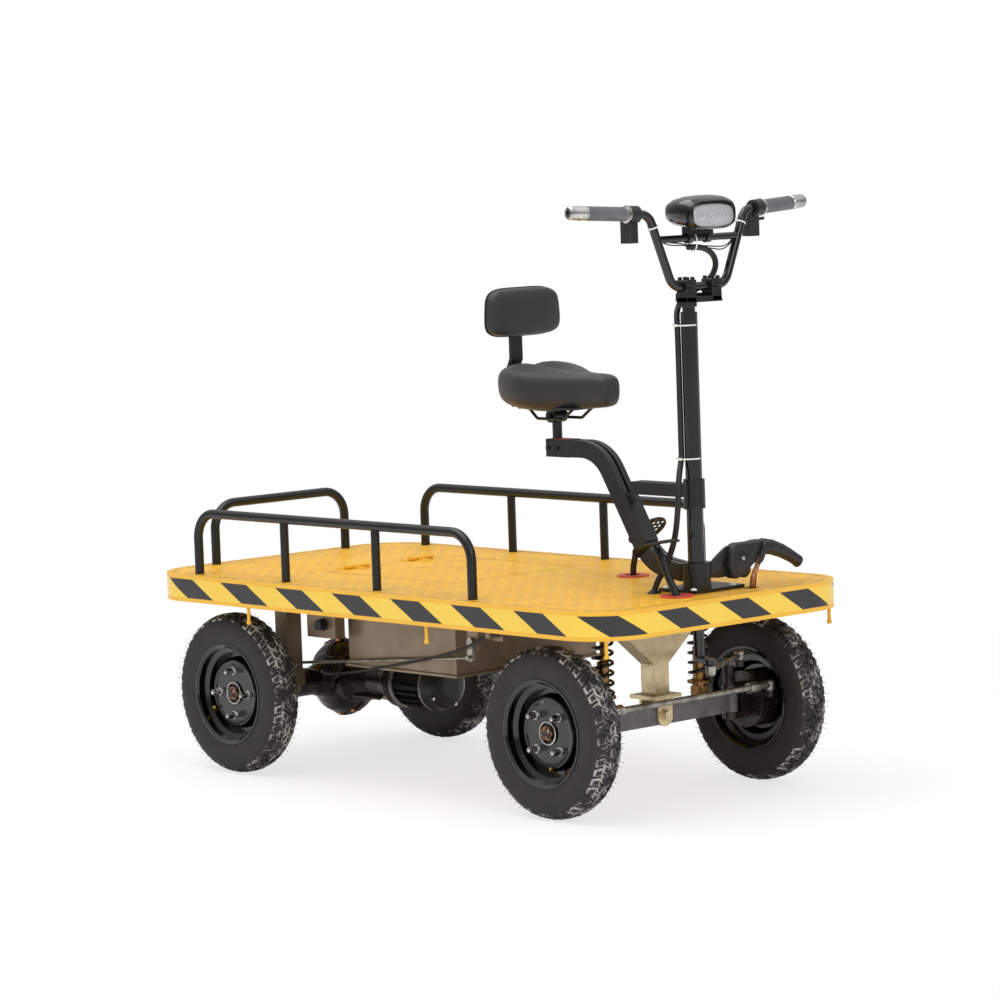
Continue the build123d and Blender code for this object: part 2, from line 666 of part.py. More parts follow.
def make_upper_collar():
    """Collar half way up the column with its two square link tubes to the seat bracket."""
    collar = upright(COLUMN_X, 0, 747, 820, UPPER_COLLAR)
    for y in SEAT_TUBES_Y:
        collar += block(566, COLUMN_X, y - SEAT_TUBE_WIDTH / 2, y + SEAT_TUBE_WIDTH / 2, 775, 807)
    return collar - upright(COLUMN_X, 0, 740, 830, COLUMN_TUBE + COLLAR_FIT)


# Centre line of the seat bracket's tubes seen from the side: x and z, and the radius of each bend
SEAT_LINE = ((280, 881), (450, 883), (622, 600), (738, 585))
SEAT_LINE_RADII = (110, 130)
SEAT_GUSSET = ((538, 773), (546, 777), (618, 658), (611, 653))


def make_seat_bracket():
    """Two bent square tubes from the lower collar up to the block that clamps the seat post."""
    path = FilletPolyline(*[(x, 0, z) for x, z in SEAT_LINE], radius=list(SEAT_LINE_RADII))
    start = Plane(origin=path @ 0, x_dir=(0, 1, 0), z_dir=path % 0)
    tube = sweep(start * Rectangle(SEAT_TUBE_WIDTH, SEAT_TUBE_HEIGHT), path=path)
    right, left = [Pos(0, y, 0) * tube for y in SEAT_TUBES_Y]
    top_block = block(260, 345, -SEAT_HALF_WIDTH, SEAT_HALF_WIDTH, 859, 905)
    foot_block = block(690, 748, -SEAT_HALF_WIDTH, SEAT_HALF_WIDTH, 566, 604)
    gusset = side_profile(SEAT_GUSSET, -SEAT_HALF_WIDTH, SEAT_HALF_WIDTH)
    bracket = right + left + top_block + foot_block + gusset
    bracket -= upright(POST_X, 0, 850, 920, POST_RADIUS)
    bracket -= upright(COLUMN_X, 0, DECK_TOP, 612, LOWER_COLLAR)
    return bracket - make_upper_collar()


def make_seat_post():
    """Seat post in the block, with the clamp head on top."""
    post = upright(POST_X, 0, 860, 962, POST_RADIUS)
    head = rod((POST_X, -24, 964), (POST_X, 24, 964), 17)
    bolt = rod((POST_X, -30, 964), (POST_X, 30, 964), 6)
    return post + head + bolt


# Saddle outline, right half from the rear to the nose: x and y, then its height
SADDLE_HALF = ((150, -128), (252, -136), (330, -84), (380, -50), (441, -44))
SADDLE_LOW = 990
SADDLE_HIGH = 1085


def make_saddle():
    """Wide padded saddle, plain."""
    points = list(SADDLE_HALF) + [(x, -y) for x, y in reversed(SADDLE_HALF)]
    outline = make_face(Polyline(*points, close=True))
    outline = fillet(outline.vertices(), 14)
    return extrude(Pos(0, 0, SADDLE_LOW) * outline, SADDLE_HIGH - SADDLE_LOW)


def make_saddle_frame():
    """Sprung wire frame under the saddle."""
    frame = block(200, 400, -60, 60, 984, 990) + block(262, 302, -22, 22, 981, 986)
    for y in (-34, 34):
        frame += bent_rod([(212, y, 986), (245, y, 958), (340, y, 958), (380, y, 986)], [14, 14], 4)
    return frame


def make_backrest():
    """Backrest pad, plain."""
    place = Plane(origin=(140, 0, 1230), x_dir=(0, 1, 0), z_dir=(1, 0, 0))
    return extrude(place * RectangleRounded(215, 122, 40), 42)


def make_backrest_stalk():
    """Flat steel stalk from the saddle's rear up to the pad."""
    outline = ((200, 984), (134, 984), (116, 1010), (106, 1062), (130, 1110), (130, 1270), (139, 1270),
               (139, 1106), (116, 1062), (124, 1014), (140, 990), (200, 990))
    return side_profile(outline, -20, 20)


def make_column():
    """Steering column tube, the shaft below the deck and its arm to the drag link."""
    tube = upright(COLUMN_X, 0, 470, 1236, COLUMN_TUBE)
    shaft = upright(COLUMN_X, 0, SHAFT_FOOT_Z, 480, SHAFT)
    neck = upright(COLUMN_X, 0, 1230, 1276, 16)
    arm = flat_arm((COLUMN_X, 0), PITMAN_BALL, 28, SHAFT_FOOT_Z, SHAFT_FOOT_Z + 12)
    return tube + shaft + neck + arm


# Left half of the bar from the clamps outwards, and the radius of each bend
BAR_HALF = ((BAR_X, 92, BAR_FOOT_Z), (BAR_X, 168, 1483), (GRIP_X, GRIP_END_Y - 2, GRIP_Z))
BAR_RADII = (44, 36)


def on_bar(y):
    """Point on the bar's straight outer run at a distance |y| from the middle."""
    (x0, y0, z0), (x1, y1, z1) = BAR_HALF[1:]
    t = (abs(y) - y0) / (y1 - y0)
    return (x0 + t * (x1 - x0), y, z0 + t * (z1 - z0))


def make_bar_clamps():
    """Stem plate on the neck with two split clamps for the bar."""
    clamps = block(COLUMN_X - 22, BAR_X + 20, -62, 62, 1276, 1284)
    for side in SIDES:
        y = side * CLAMP_Y
        clamps += block(BAR_X - 19, BAR_X + 19, y - 17, y + 17, 1280, 1318)
        for face in SIDES:
            groove_x = BAR_X + face * 19
            clamps -= block(groove_x - 6, groove_x + 6, y - 18, y + 18, BAR_FOOT_Z - 1, BAR_FOOT_Z + 1)
    return clamps - rod((BAR_X, -90, BAR_FOOT_Z), (BAR_X, 90, BAR_FOOT_Z), BAR_TUBE)


def make_handlebar():
    """Bent bar, a U at the clamps that opens out to the grips, with its cross bar."""
    points = [(x, -y, z) for x, y, z in reversed(BAR_HALF)] + list(BAR_HALF)
    bar = bent_rod(points, list(reversed(BAR_RADII)) + list(BAR_RADII), BAR_TUBE)
    return bar + rod((BAR_X, -140, CROSSBAR_Z), (BAR_X, 140, CROSSBAR_Z), CROSSBAR)


# Grip from its inner flange outwards: along, radius
GRIP_SECTION = (
    (0, BAR_TUBE), (0, 21), (5, 22), (7, 17), (128, 16), (130, 18), (150, 18), (153, 17.5), (176, 17),
    (181, 13), (181, 7), (179, 7), (179, BAR_TUBE),
)
GRIP_START_Y = 232


def make_grip(side):
    """Grip sleeve over the end of the bar, with an inner flange and an end cap."""
    start = Vector(*on_bar(side * GRIP_START_Y))
    along = (Vector(*on_bar(side * GRIP_END_Y)) - start).normalized()
    return turned(GRIP_SECTION, tuple(start), tuple(along))


SWITCH_BORE = BAR_TUBE + 0.2


def make_switch(side):
    """Switch housing inboard of the grip: a collar on the bar with the switch block below it."""
    collar = rod(on_bar(side * 203), on_bar(side * 231), 21)
    body = Pos(GRIP_X + 6, side * 213.5, 1446) * Box(34, 34, 62)
    body = fillet(body.edges().filter_by(Axis.Z), 6)
    housing = collar + body
    if side > 0:
        housing += rod((GRIP_X + 6, 230, 1456), (GRIP_X + 4, 262, 1458), 4)
    return housing - rod(on_bar(side * 190), on_bar(side * 245), SWITCH_BORE)


# Lamp sections from its tail to its face: x, width, height, corner radius and middle z
LAMP_SECTIONS = (
    (766, 62, 20, 8, 1486), (786, 118, 52, 20, 1485), (822, 138, 72, 28, 1483), (856, 132, 66, 26, 1480),
)
LENS_SECTIONS = ((856, 130, 64, 26, 1480), (868, 108, 46, 20, 1480))


def lofted(sections):
    """Body lofted through upright rounded rectangles across the truck."""
    faces = [
        Plane(origin=(x, 0, z), x_dir=(0, 1, 0), z_dir=(1, 0, 0)) * RectangleRounded(width, height, corner)
        for x, width, height, corner, z in sections
    ]
    return loft(Sketch() + faces)


def make_headlight():
    """Lamp shell on a foot that two bands clamp to the cross bar."""
    lamp = lofted(LAMP_SECTIONS) + block(796, 826, -40, 40, 1428, 1462)
    for y in (-32, 32):
        lamp += rod((BAR_X, y - 8, CROSSBAR_Z), (BAR_X, y + 8, CROSSBAR_Z), CROSSBAR + 4)
    return lamp - rod((BAR_X, -60, CROSSBAR_Z), (BAR_X, 60, CROSSBAR_Z), CROSSBAR)


def make_lens():
    """Clear lens on the lamp's face."""
    return lofted(LENS_SECTIONS)


# Pedals: foot of the arm at the deck, knee and top of the arm
PEDAL_ARMS = {
    "right": ((793, -93, DECK_TOP), (760, -93, 588), (728, -93, 648)),
    "left": ((374, 166, DECK_TOP), (378, 166, 625), (440, 166, 672)),
}
PEDAL_ARM = 8
PEDAL_HOLE = 22
PEDAL_TREAD = 8


def make_pedal_arm(name):
    """Round arm of a pedal, which goes down through the deck."""
    foot, knee, top = PEDAL_ARMS[name]
    down = Vector(*foot) - (Vector(*knee) - Vector(*foot)).normalized() * 30
    return rod(tuple(down), knee, PEDAL_ARM) + Pos(*knee) * Sphere(PEDAL_ARM) + rod(knee, top, PEDAL_ARM)


def sloped(rear, front, y):
    """Plane of a pedal tread, from its rear to its front (x, z) point."""
    middle = ((rear[0] + front[0]) / 2, y, (rear[1] + front[1]) / 2)
    slope = -math.degrees(math.atan2(front[1] - rear[1], front[0] - rear[0]))
    return Pos(*middle) * Rot(0, slope, 0)


def make_right_pedal():
    """Long tread with its front turned down over the arm."""
    rear, front = (664, 630), (797, 675)
    tread = extrude(RectangleRounded(math.dist(rear, front), 64, 31), PEDAL_TREAD / 2, both=True)
    return make_pedal_arm("right") + sloped(rear, front, -93) * tread


def make_left_pedal():
    """Round tread with a ring of holes."""
    rear, front = (410, 640), (500, 722)
    disc = Circle(math.dist(rear, front) / 2)
    for k in range(8):
        disc -= Rot(0, 0, 45 * k) * Pos(40, 0) * Circle(7)
    disc -= [Rot(0, 0, 60 * k) * Pos(20, 0) * Circle(5) for k in range(6)]
    return make_pedal_arm("left") + sloped(rear, front, 166) * extrude(disc, PEDAL_TREAD / 2, both=True)


def make_boot(name):
    """Rubber ring on the deck round a pedal's arm."""
    x, y, z = PEDAL_ARMS[name][0]
    return upright(x, y, z, z + 4, 42) - upright(x, y, z - 1, z + 5, PEDAL_HOLE)


# Hand brake, seen from the front: y and z
BRAKE_X = 800
BRAKE_BRACKET = ((20, 578), (20, 604), (62, 632), (92, 648), (110, 640), (110, 600), (96, 568), (34, 568))
BRAKE_SHROUD = ((84, 566), (74, 604), (92, 652), (150, 649), (186, 653), (216, 652), (214, 614), (184, 600),
                (170, 582), (150, 568), (124, 584), (104, 566))
BRAKE_GRIP_FROM = (200, 633)
BRAKE_GRIP_TO = (350, 584)
BRAKE_ARM = ((141, 545), (141, 556), (166, 598), (184, 622), (196, 644), (214, 644), (196, 618), (174, 584),
             (157, 556), (155, 545))


def make_hand_brake():
    """Hand brake on the column's collar: bracket, moulded shroud, grip and the arm through the deck."""
    bracket = cross_profile(BRAKE_BRACKET, BRAKE_X - 12, BRAKE_X - 4)
    shroud = cross_profile(BRAKE_SHROUD, BRAKE_X - 17, BRAKE_X + 17)
    shroud = fillet(shroud.edges().filter_by(Axis.X, reverse=True).group_by(Axis.X)[-1], 5)
    grip = rod((BRAKE_X, *BRAKE_GRIP_FROM), (BRAKE_X, *BRAKE_GRIP_TO), 17)
    arm = cross_profile(BRAKE_ARM, BRAKE_X + 16, BRAKE_X + 22)
    foot = block(BRAKE_X + 16, BRAKE_X + 22, 141, 155, 500, 546)
    brake = bracket + shroud + grip + arm + foot
    return brake - upright(COLUMN_X, 0, 540, 640, LOWER_COLLAR)


# Battery tray: inside faces
TRAY = (-284, 136, -247, 247)
TRAY_FLOOR = 300
TRAY_TOP = 460
TRAY_WALL = 3
STRAP_Z = 440


def make_battery_box():
    """Open steel tray with a flange round its foot, and the straps that hang it from the frame."""
    rear, front, right, left = TRAY
    wall = TRAY_WALL
    tray = block(rear - wall, front + wall, right - wall, left + wall, TRAY_FLOOR, TRAY_TOP)
    tray += block(rear - 11, front + 11, right - 11, left + 11, TRAY_FLOOR, TRAY_FLOOR + 6)
    tray -= block(rear, front, right, left, TRAY_FLOOR + wall, TRAY_TOP + 1)
    # Straps at each end: the tray's face, the strap's far end and its upright's near face
    for face, far, near in ((rear - wall, -336, -330), (front + wall, 186, 180)):
        for side in SIDES:
            y0, y1 = side * HANGER_Y - 15, side * HANGER_Y + 15
            tray += block(face, far, y0, y1, STRAP_Z, STRAP_Z + 6)
            tray += block(near, far, y0, y1, STRAP_Z, UNDER_FRAME)
    return tray


def make_battery():
    """Battery block in the tray."""
    rear, front, right, left = TRAY
    return block(rear + 12, front - 12, right + 12, left - 12, TRAY_FLOOR + TRAY_WALL, 440)


def make_side_brackets():
    """Angle for the charging knob and the two bent straps that carry the brake crank and the cable's stop."""
    face = block(-400, -285, -297.5, -295, 376, UNDER_FRAME)
    brackets = [face + block(-287.5, -285, -297.5, -264, 376, UNDER_FRAME)]
    for x, foot_z in STRAP_PLACES:
        strap = block(x - 20, x + 20, *STRAP_Y, foot_z, UNDER_FRAME)
        strap += block(x - 20, x + 20, -315, STRAP_Y[1], UNDER_FRAME - 4, UNDER_FRAME)
        brackets.append(strap)
    crank_x, crank_z = CRANK_PIVOT
    brackets[1] -= rod((crank_x, -270, crank_z), (crank_x, -240, crank_z), 6.1)
    stop_x, stop_y, stop_z = CABLE_STOP
    brackets[2] += block(stop_x - 8, stop_x + 8, stop_y - 9, STRAP_Y[0], stop_z - 10, stop_z + 8)
    brackets[2] -= cord(CABLE_FRONT + CABLE_REAR[1:], CABLE + RUNNING_FIT)
    return brackets


def make_brake_rod():
    """Brake rod with its crank in front and the drum's lever behind."""
    (crank_x, crank_z), (lever_x, lever_z) = CRANK, DRUM_LEVER
    y = BRAKE_ROD_Y
    brake = rod((crank_x, y, crank_z), (lever_x, y, lever_z), BRAKE_ROD)
    brake += side_arm(CRANK, CRANK_PIVOT, 20, y + 3, y + 13.8)
    brake += side_arm(DRUM_PIVOT, DRUM_LEVER, 20, y + 3, y + 10)
    for x, z in (CRANK, DRUM_LEVER):
        brake += rod((x, y - 8, z), (x, y + 6, z), 6)
    pivot_x, pivot_z = CRANK_PIVOT
    brake += rod((pivot_x, y + 4, pivot_z), (pivot_x, STRAP_Y[1] + 4, pivot_z), 6)
    shaft_x, shaft_z = DRUM_PIVOT
    return brake + rod((shaft_x, 10 - BACKPLATE_Y, shaft_z), (shaft_x, y + 10, shaft_z), 8)


# Brake cable from the hand brake's arm round the column to its stop, then back to the sheave
CABLE_FRONT = (
    (819, 148, 499.6), (819, 147, 478), (808, 130, 462), (778, 86, 455), (742, 28, 452), (706, -26, 450),
    (676, -78, 449), (656, -110, 450), (630, -124, 451), (598, -125, 451), (560, -134, 450), (515, -156, 449),
    (468, -186, 447), (415, -222, 443), (362, -254, 437), CABLE_STOP,
)
CABLE_REAR = (
    CABLE_STOP, (245, -278, 402), (186, -277, 379), (100, -276, 356), (5, -277, 335), (-60, -277, 323),
    (-118, -276, 312), (-200, -277, 297), (-274, -274, 284), (-350, -262, 275), (-415, -236, 268),
    (-464, -200, 264), (-494, -170, 262), (-508, -149, 262),
)


def make_brake_cable():
    """Black brake cable, held by its stop on the strap half way."""
    return cord(CABLE_FRONT + CABLE_REAR[1:], CABLE)


# Cable loom: from the cross bar round behind the left clamp and down the column, tied to it
LOOM = 7.5
LOOM_COLUMN = (
    (806, -30, 1398), (804, 0, 1397), (798, 34, 1393), (787, 70, 1381), (776, 97, 1360), (766, 104, 1335),
    (755, 92, 1310), (742, 67, 1292), (734, 36, 1277), (733, 9, 1259), (740, -11, 1236), (749, -19, 1206),
    (751.5, -20.5, 1170), (751.5, -20.5, 880),
)
# From the end of its sleeve freely down to the grommet in the deck
LOOM_LOWER = (
    (751.8, -21, 876), (755, -28, 858), (762, -41, 836), (768, -50.5, 808), (769, -54, 776), (765, -54, 742),
    (756, -50, 708), (743, -45, 673), (731, -45, 643), (722, -50, 618), (712, -59, 591), (699, -69, 562),
    (693, -73, 540), (693, -73, 526),
)
GROMMET = 13.8


def make_loom_lower():
    """Lower end of the loom with the rubber grommet that closes its hole in the deck."""
    x, y, z = LOOM_LOWER[-1]
    grommet = upright(x, y, UNDER_PLATE - 8, DECK_TOP + 6, GROMMET)
    flange = upright(x, y, DECK_TOP, DECK_TOP + 3, GROMMET + 5)
    return cord(LOOM_LOWER, LOOM) + grommet + flange


def make_charge_knob():
    """Knob on the charge bracket."""
    origin = (-332, -297.5, 412)
    base = extrude(Plane(origin=origin, z_dir=(0, -1, 0)) * Circle(17), 6)
    return base + extrude(Plane(origin=origin, z_dir=(0, -1, 0)) * RegularPolygon(15, 8), 22)


def main():
    os.makedirs("parts", exist_ok=True)
    save("deck_plate", make_deck())
    save("deck_skirt", make_skirt())
    save("deck_hatch", make_hatch())
    save("hatch_hinges", *make_hatch_hinges())
    save("tie_down_pegs", *make_pegs())
    save("deck_frame", *make_side_members())
    save("cross_members", *make_cross_members())
    save("rail_right", make_side_rail())
    save("rail_left", mirrored(make_side_rail()))
    save("rail_rear", make_rear_rail())
    # Wheels: name, x, side, turn of the lug nuts
    wheels = (
        ("front_right", FRONT_X, -1, 45), ("front_left", FRONT_X, 1, 45),
        ("rear_right", REAR_X, -1, 0), ("rear_left", REAR_X, 1, 0),
    )
    for name, x, side, turn in wheels:
        save(f"tyre_{name}", make_tyre(x, side))
        save(f"rim_{name}", make_rim(x, side, turn))
        save(f"hub_{name}", make_hub(x, side, turn))
    save("rear_axle", make_rear_axle())
    save("drive_motor", make_motor())
    save("rear_hangers", *make_rear_hangers())
    save("front_axle_beam", make_front_beam())
    save("front_axle_bracket", make_axle_bracket())
    save("dampers", *[make_damper(side) for side in SIDES])
    save("springs", *[make_spring(side) for side in SIDES])
    save("knuckle_right", make_knuckle(-1))
    save("knuckle_left", make_knuckle(1) + make_drag_arm())
    save("tie_rod", make_tie_rod())
    save("drag_link", make_drag_link())
    save("column_base", make_column_base())
    save("column_link", make_upper_collar())
    save("steering_column", make_column())
    save("bar_clamps", make_bar_clamps())
    save("handlebar", make_handlebar())
    save("grips", *[make_grip(side) for side in SIDES])
    save("switch_housings", *[make_switch(side) for side in SIDES])
    save("headlight", make_headlight())
    save("headlight_lens", make_lens())
    save("seat_bracket", make_seat_bracket())
    save("seat_post", make_seat_post())
    save("saddle", make_saddle())
    save("saddle_frame", make_saddle_frame())
    save("backrest_pad", make_backrest())
    save("backrest_stalk", make_backrest_stalk())
    save("pedals", make_right_pedal(), make_left_pedal())
    save("pedal_boots", *[make_boot(name) for name in PEDAL_ARMS])
    save("hand_brake", make_hand_brake())
    save("battery_tray", make_battery_box())
    save("battery", make_battery())
    save("side_brackets", *make_side_brackets())
    save("charge_knob", make_charge_knob())
    save("brake_rod", make_brake_rod())
    save("brake_cable", make_brake_cable())
    save("loom_column", cord(LOOM_COLUMN, LOOM))
    save("loom_lower", make_loom_lower())


main()
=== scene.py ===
# %% [markdown]
# # Electric platform truck
# The truck's solids arrive as a fixed frame: each node is one piece of the real truck, in metres, with
# the origin on the floor under the middle of the deck, +X forward, +Y left and +Z up. This lesson gives
# every piece its finish and adds what is too fine or too soft for the solids.

# %% Load the truck
import math

import bmesh
import bpy
import numpy as np
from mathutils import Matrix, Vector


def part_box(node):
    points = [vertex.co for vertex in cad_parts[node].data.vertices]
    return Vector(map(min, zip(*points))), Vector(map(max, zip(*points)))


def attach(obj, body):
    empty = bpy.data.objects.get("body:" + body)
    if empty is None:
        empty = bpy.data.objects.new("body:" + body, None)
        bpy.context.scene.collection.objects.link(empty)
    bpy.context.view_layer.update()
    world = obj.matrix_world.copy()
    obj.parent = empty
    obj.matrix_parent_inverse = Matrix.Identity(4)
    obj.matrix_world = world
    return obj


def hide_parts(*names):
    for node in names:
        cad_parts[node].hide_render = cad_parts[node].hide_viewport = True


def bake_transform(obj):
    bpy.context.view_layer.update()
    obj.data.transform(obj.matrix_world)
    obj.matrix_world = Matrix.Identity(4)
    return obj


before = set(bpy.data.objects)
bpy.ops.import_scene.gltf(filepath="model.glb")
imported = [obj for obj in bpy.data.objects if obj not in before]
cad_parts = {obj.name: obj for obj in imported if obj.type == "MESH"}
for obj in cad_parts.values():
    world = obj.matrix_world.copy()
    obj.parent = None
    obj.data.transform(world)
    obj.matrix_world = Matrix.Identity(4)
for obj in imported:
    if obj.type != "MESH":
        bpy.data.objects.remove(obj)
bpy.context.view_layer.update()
# Shapes are drawn in millimetres, and this makes them metres
MM = 0.001
# Right and left
SIDES = (-1, 1)
print("nodes:", len(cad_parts))

# %% [markdown]
# ## Camera
# The photograph was taken with a long lens from in front and to the right, a little above the floor and
# tilted by two degrees. The place and the three directions below were solved from the wheels, the deck
# and the rails. A matrix of those directions turns the camera in one step, which avoids Euler angles.

# %% Camera
CAMERA_PLACE = (7.6308, -6.9089, 1.6892)
CAMERA_RIGHT = (0.68227, 0.73031, -0.03407)
CAMERA_UP = (-0.04356, 0.08713, 0.99524)
CAMERA_AHEAD = (-0.72980, 0.67754, -0.09126)
IMAGE_PIXELS = 1000
FOCAL_PIXELS = 3922.95
CENTRE_PIXEL = (534.98, 493.28)
SENSOR_MM = 36.0


def make_camera():
    """Camera of the photograph: lens from its focal length in pixels, shift from its centre pixel."""
    data = bpy.data.cameras.new("photo_camera")
    data.sensor_width = SENSOR_MM
    data.lens = SENSOR_MM * FOCAL_PIXELS / IMAGE_PIXELS
    data.shift_x = (IMAGE_PIXELS / 2 - CENTRE_PIXEL[0]) / IMAGE_PIXELS
    data.shift_y = (CENTRE_PIXEL[1] - IMAGE_PIXELS / 2) / IMAGE_PIXELS
    data.clip_end = 100
    camera = bpy.data.objects.new("photo_camera", data)
    turn = np.eye(4)
    turn[:3, 0] = CAMERA_RIGHT
    turn[:3, 1] = CAMERA_UP
    turn[:3, 2] = -np.array(CAMERA_AHEAD)
    turn[:3, 3] = CAMERA_PLACE
    camera.matrix_world = turn.T
    bpy.context.scene.collection.objects.link(camera)
    return camera


bpy.context.scene.camera = make_camera()
bpy.context.scene.view_settings.view_transform = "Standard"
print("lens:", round(bpy.context.scene.camera.data.lens, 1), "mm")

# %% [markdown]
# ## Colours and nodes
# A colour is written as sRGB hex, as a paint chart gives it, and the renderer works in linear light, so
# one function turns the first into the second. A second one adds a shader node with its settings and its
# links. A third works through a short table of sums, which reads better than a chain of calls, and the
# last one feeds a shader the three things that every finish here has: colour, roughness and grain.

# %% Colour and node helpers
def linear(colour):
    """Linear RGBA of sRGB hex: ((c + 0.055) / 1.055) ** 2.4 above 0.04045, and c / 12.92 below."""
    channels = [int(colour[k:k + 2], 16) / 255 for k in (1, 3, 5)]
    return [((c + 0.055) / 1.055) ** 2.4 if c > 0.04045 else c / 12.92 for c in channels] + [1.0]


def add(tree, kind, settings=None, links=None):
    """Add a node: settings hold its properties and socket values, links the outputs that feed its sockets."""
    made = tree.nodes.new(kind)
    for key, value in (settings or {}).items():
        if isinstance(key, str) and key in made.bl_rna.properties:
            setattr(made, key, value)
        else:
            made.inputs[key].default_value = value
    for key, source in (links or {}).items():
        tree.links.new(source, made.inputs[key])
    return made


def work_out(tree, sums, **values):
    """Work through sums in turn: each row has its result's name, the operation and its one or two terms.

    A term is a number, or the name of a value or of an earlier result. The results are handed back by name.
    """
    for name, operation, *terms in sums:
        numbers = {index: term for index, term in enumerate(terms) if not isinstance(term, str)}
        named = {index: values[term] for index, term in enumerate(terms) if isinstance(term, str)}
        values[name] = add(tree, "ShaderNodeMath", {"operation": operation, **numbers}, named).outputs[0]
    return values


def start_material(name, **settings):
    """Material with its shader and output; settings are the shader's own sockets."""
    material = bpy.data.materials.new(name)
    material.use_nodes = True
    tree = material.node_tree
    tree.nodes.clear()
    shader = add(tree, "ShaderNodeBsdfPrincipled", {k.replace("_", " "): v for k, v in settings.items()})
    add(tree, "ShaderNodeOutputMaterial", links={"Surface": shader.outputs["BSDF"]})
    return material, tree, shader


def feed(tree, shader, colour, varied, roughness, height, depth, strength=1.0):
    """Feed the shader a colour, a roughness and a bump, and leave its own colour where none is given.

    A varied value sets the roughness, between the limits in roughness. The height makes a bump, depth deep
    in mm.
    """
    rough = add(tree, "ShaderNodeMapRange", roughness, {"Value": varied})
    bump = add(tree, "ShaderNodeBump", {"Strength": strength, "Distance": depth * MM}, {"Height": height})
    sources = {"Base Color": colour, "Roughness": rough.outputs[0], "Normal": bump.outputs[0]}
    for socket, source in sources.items():
        if source:
            tree.links.new(source, shader.inputs[socket])


print("deck yellow in linear light:", [round(c, 3) for c in linear("#f0b930")[:3]])

# %% [markdown]
# ## Plain finishes
# Paint, plating, rubber and castings differ in a few numbers: two tints that drift into each other over
# some tens of millimetres, a roughness that varies with the touch of hands and dust, and a fine grain
# that tilts the surface. One table holds them, and one function turns a row into a material. The grain
# of enamel is orange peel, that of a casting is sand, and both are drawn a little coarser than life so
# that they show.

# %% Plain finishes
# Name: dark and light tint, patch mm, roughness low and high, metallic, grain mm, grain depth mm, coat
FINISHES = {
    # Paint: smooth and even, with a fine orange peel that breaks its reflections
    "gloss_black_enamel": ("#040405", "#0a0a0b", 90, 0.10, 0.22, 0.0, 3.0, 0.012, 0.3),
    "satin_black_powder_coat": ("#070709", "#0f0f10", 60, 0.24, 0.38, 0.0, 1.5, 0.030, 0.0),
    "dark_grey_frame_paint": ("#595659", "#6e6a6d", 40, 0.30, 0.50, 0.0, 2.0, 0.050, 0.0),
    # Castings: the brown light tint is a painted reflection of warm light, mottled over the black
    "black_painted_casting": ("#0b0a0a", "#2c2119", 25, 0.18, 0.38, 0.0, 1.2, 0.100, 0.0),
    "yellow_satin_enamel": ("#e8ac20", "#f0b930", 110, 0.30, 0.44, 0.0, 2.5, 0.030, 0.0),
    # Plating: a metal's sheen, clouded by the bath, warm where it was passivated
    "yellow_passivated_zinc": ("#85745f", "#978671", 160, 0.28, 0.38, 0.60, 1.5, 0.010, 0.0),
    "gold_passivated_zinc": ("#bda984", "#dccba4", 90, 0.22, 0.34, 0.60, 1.5, 0.010, 0.0),
    "bright_plated_steel": ("#a7a6a3", "#d8d7d3", 30, 0.10, 0.26, 1.0, 2.0, 0.008, 0.0),
    # Bare and thinly plated metal: mottled, and rough in patches from handling
    "raw_rolled_steel": ("#7d7872", "#b8b3aa", 28, 0.26, 0.44, 0.9, 1.2, 0.030, 0.0),
    "bronze_damper_sleeve": ("#6d5230", "#a9824f", 30, 0.28, 0.44, 0.9, 1.5, 0.015, 0.0),
    "copper_plated_bolt": ("#8f5a3c", "#cf9470", 12, 0.25, 0.40, 0.9, 1.0, 0.010, 0.0),
    "bronze_castle_nut": ("#6a5140", "#a98a6e", 10, 0.28, 0.46, 0.9, 1.0, 0.030, 0.0),
    # Mirror film in the lamp, painted shade in the deck's seam, and turned brass
    "metallised_reflector": ("#e4e4e3", "#f6f6f5", 60, 0.12, 0.26, 0.10, 1.5, 0.010, 0.0),
    "painted_seam_shade": ("#2c2217", "#40321f", 20, 0.50, 0.70, 0.0, 1.0, 0.030, 0.0),
    "brass_valve_stem": ("#8d7434", "#cfb468", 10, 0.20, 0.36, 1.0, 1.0, 0.010, 0.0),
    # Rubber and plastic: the soft grain of a mould, dull on rubber and shinier on hard plastic
    "black_moulded_rubber": ("#0f0f10", "#1c1b1c", 30, 0.50, 0.70, 0.0, 1.0, 0.050, 0.0),
    "red_moulded_rubber": ("#b8382f", "#d9564a", 25, 0.42, 0.58, 0.0, 1.0, 0.040, 0.0),
    "black_moulded_plastic": ("#141416", "#222225", 40, 0.36, 0.52, 0.0, 0.8, 0.050, 0.0),
    "glossy_black_plastic": ("#060607", "#0c0c0e", 60, 0.06, 0.14, 0.0, 6.0, 0.010, 0.6),
    "grey_grip_rubber": ("#5c5c60", "#6c6c70", 30, 0.36, 0.54, 0.0, 0.8, 0.030, 0.0),
    "yellow_pull_tape": ("#efd02a", "#f7de44", 30, 0.30, 0.45, 0.0, 2.0, 0.020, 0.0),
    "diode_resin": ("#e8ecf4", "#ffffff", 12, 0.10, 0.20, 0.0, 2.0, 0.010, 0.0),
    "white_nylon": ("#dcdad4", "#f2f1ec", 20, 0.40, 0.55, 0.0, 1.0, 0.020, 0.0),
    "black_cable_sheath": ("#101011", "#1d1d1e", 18, 0.38, 0.56, 0.0, 1.0, 0.030, 0.0),
}


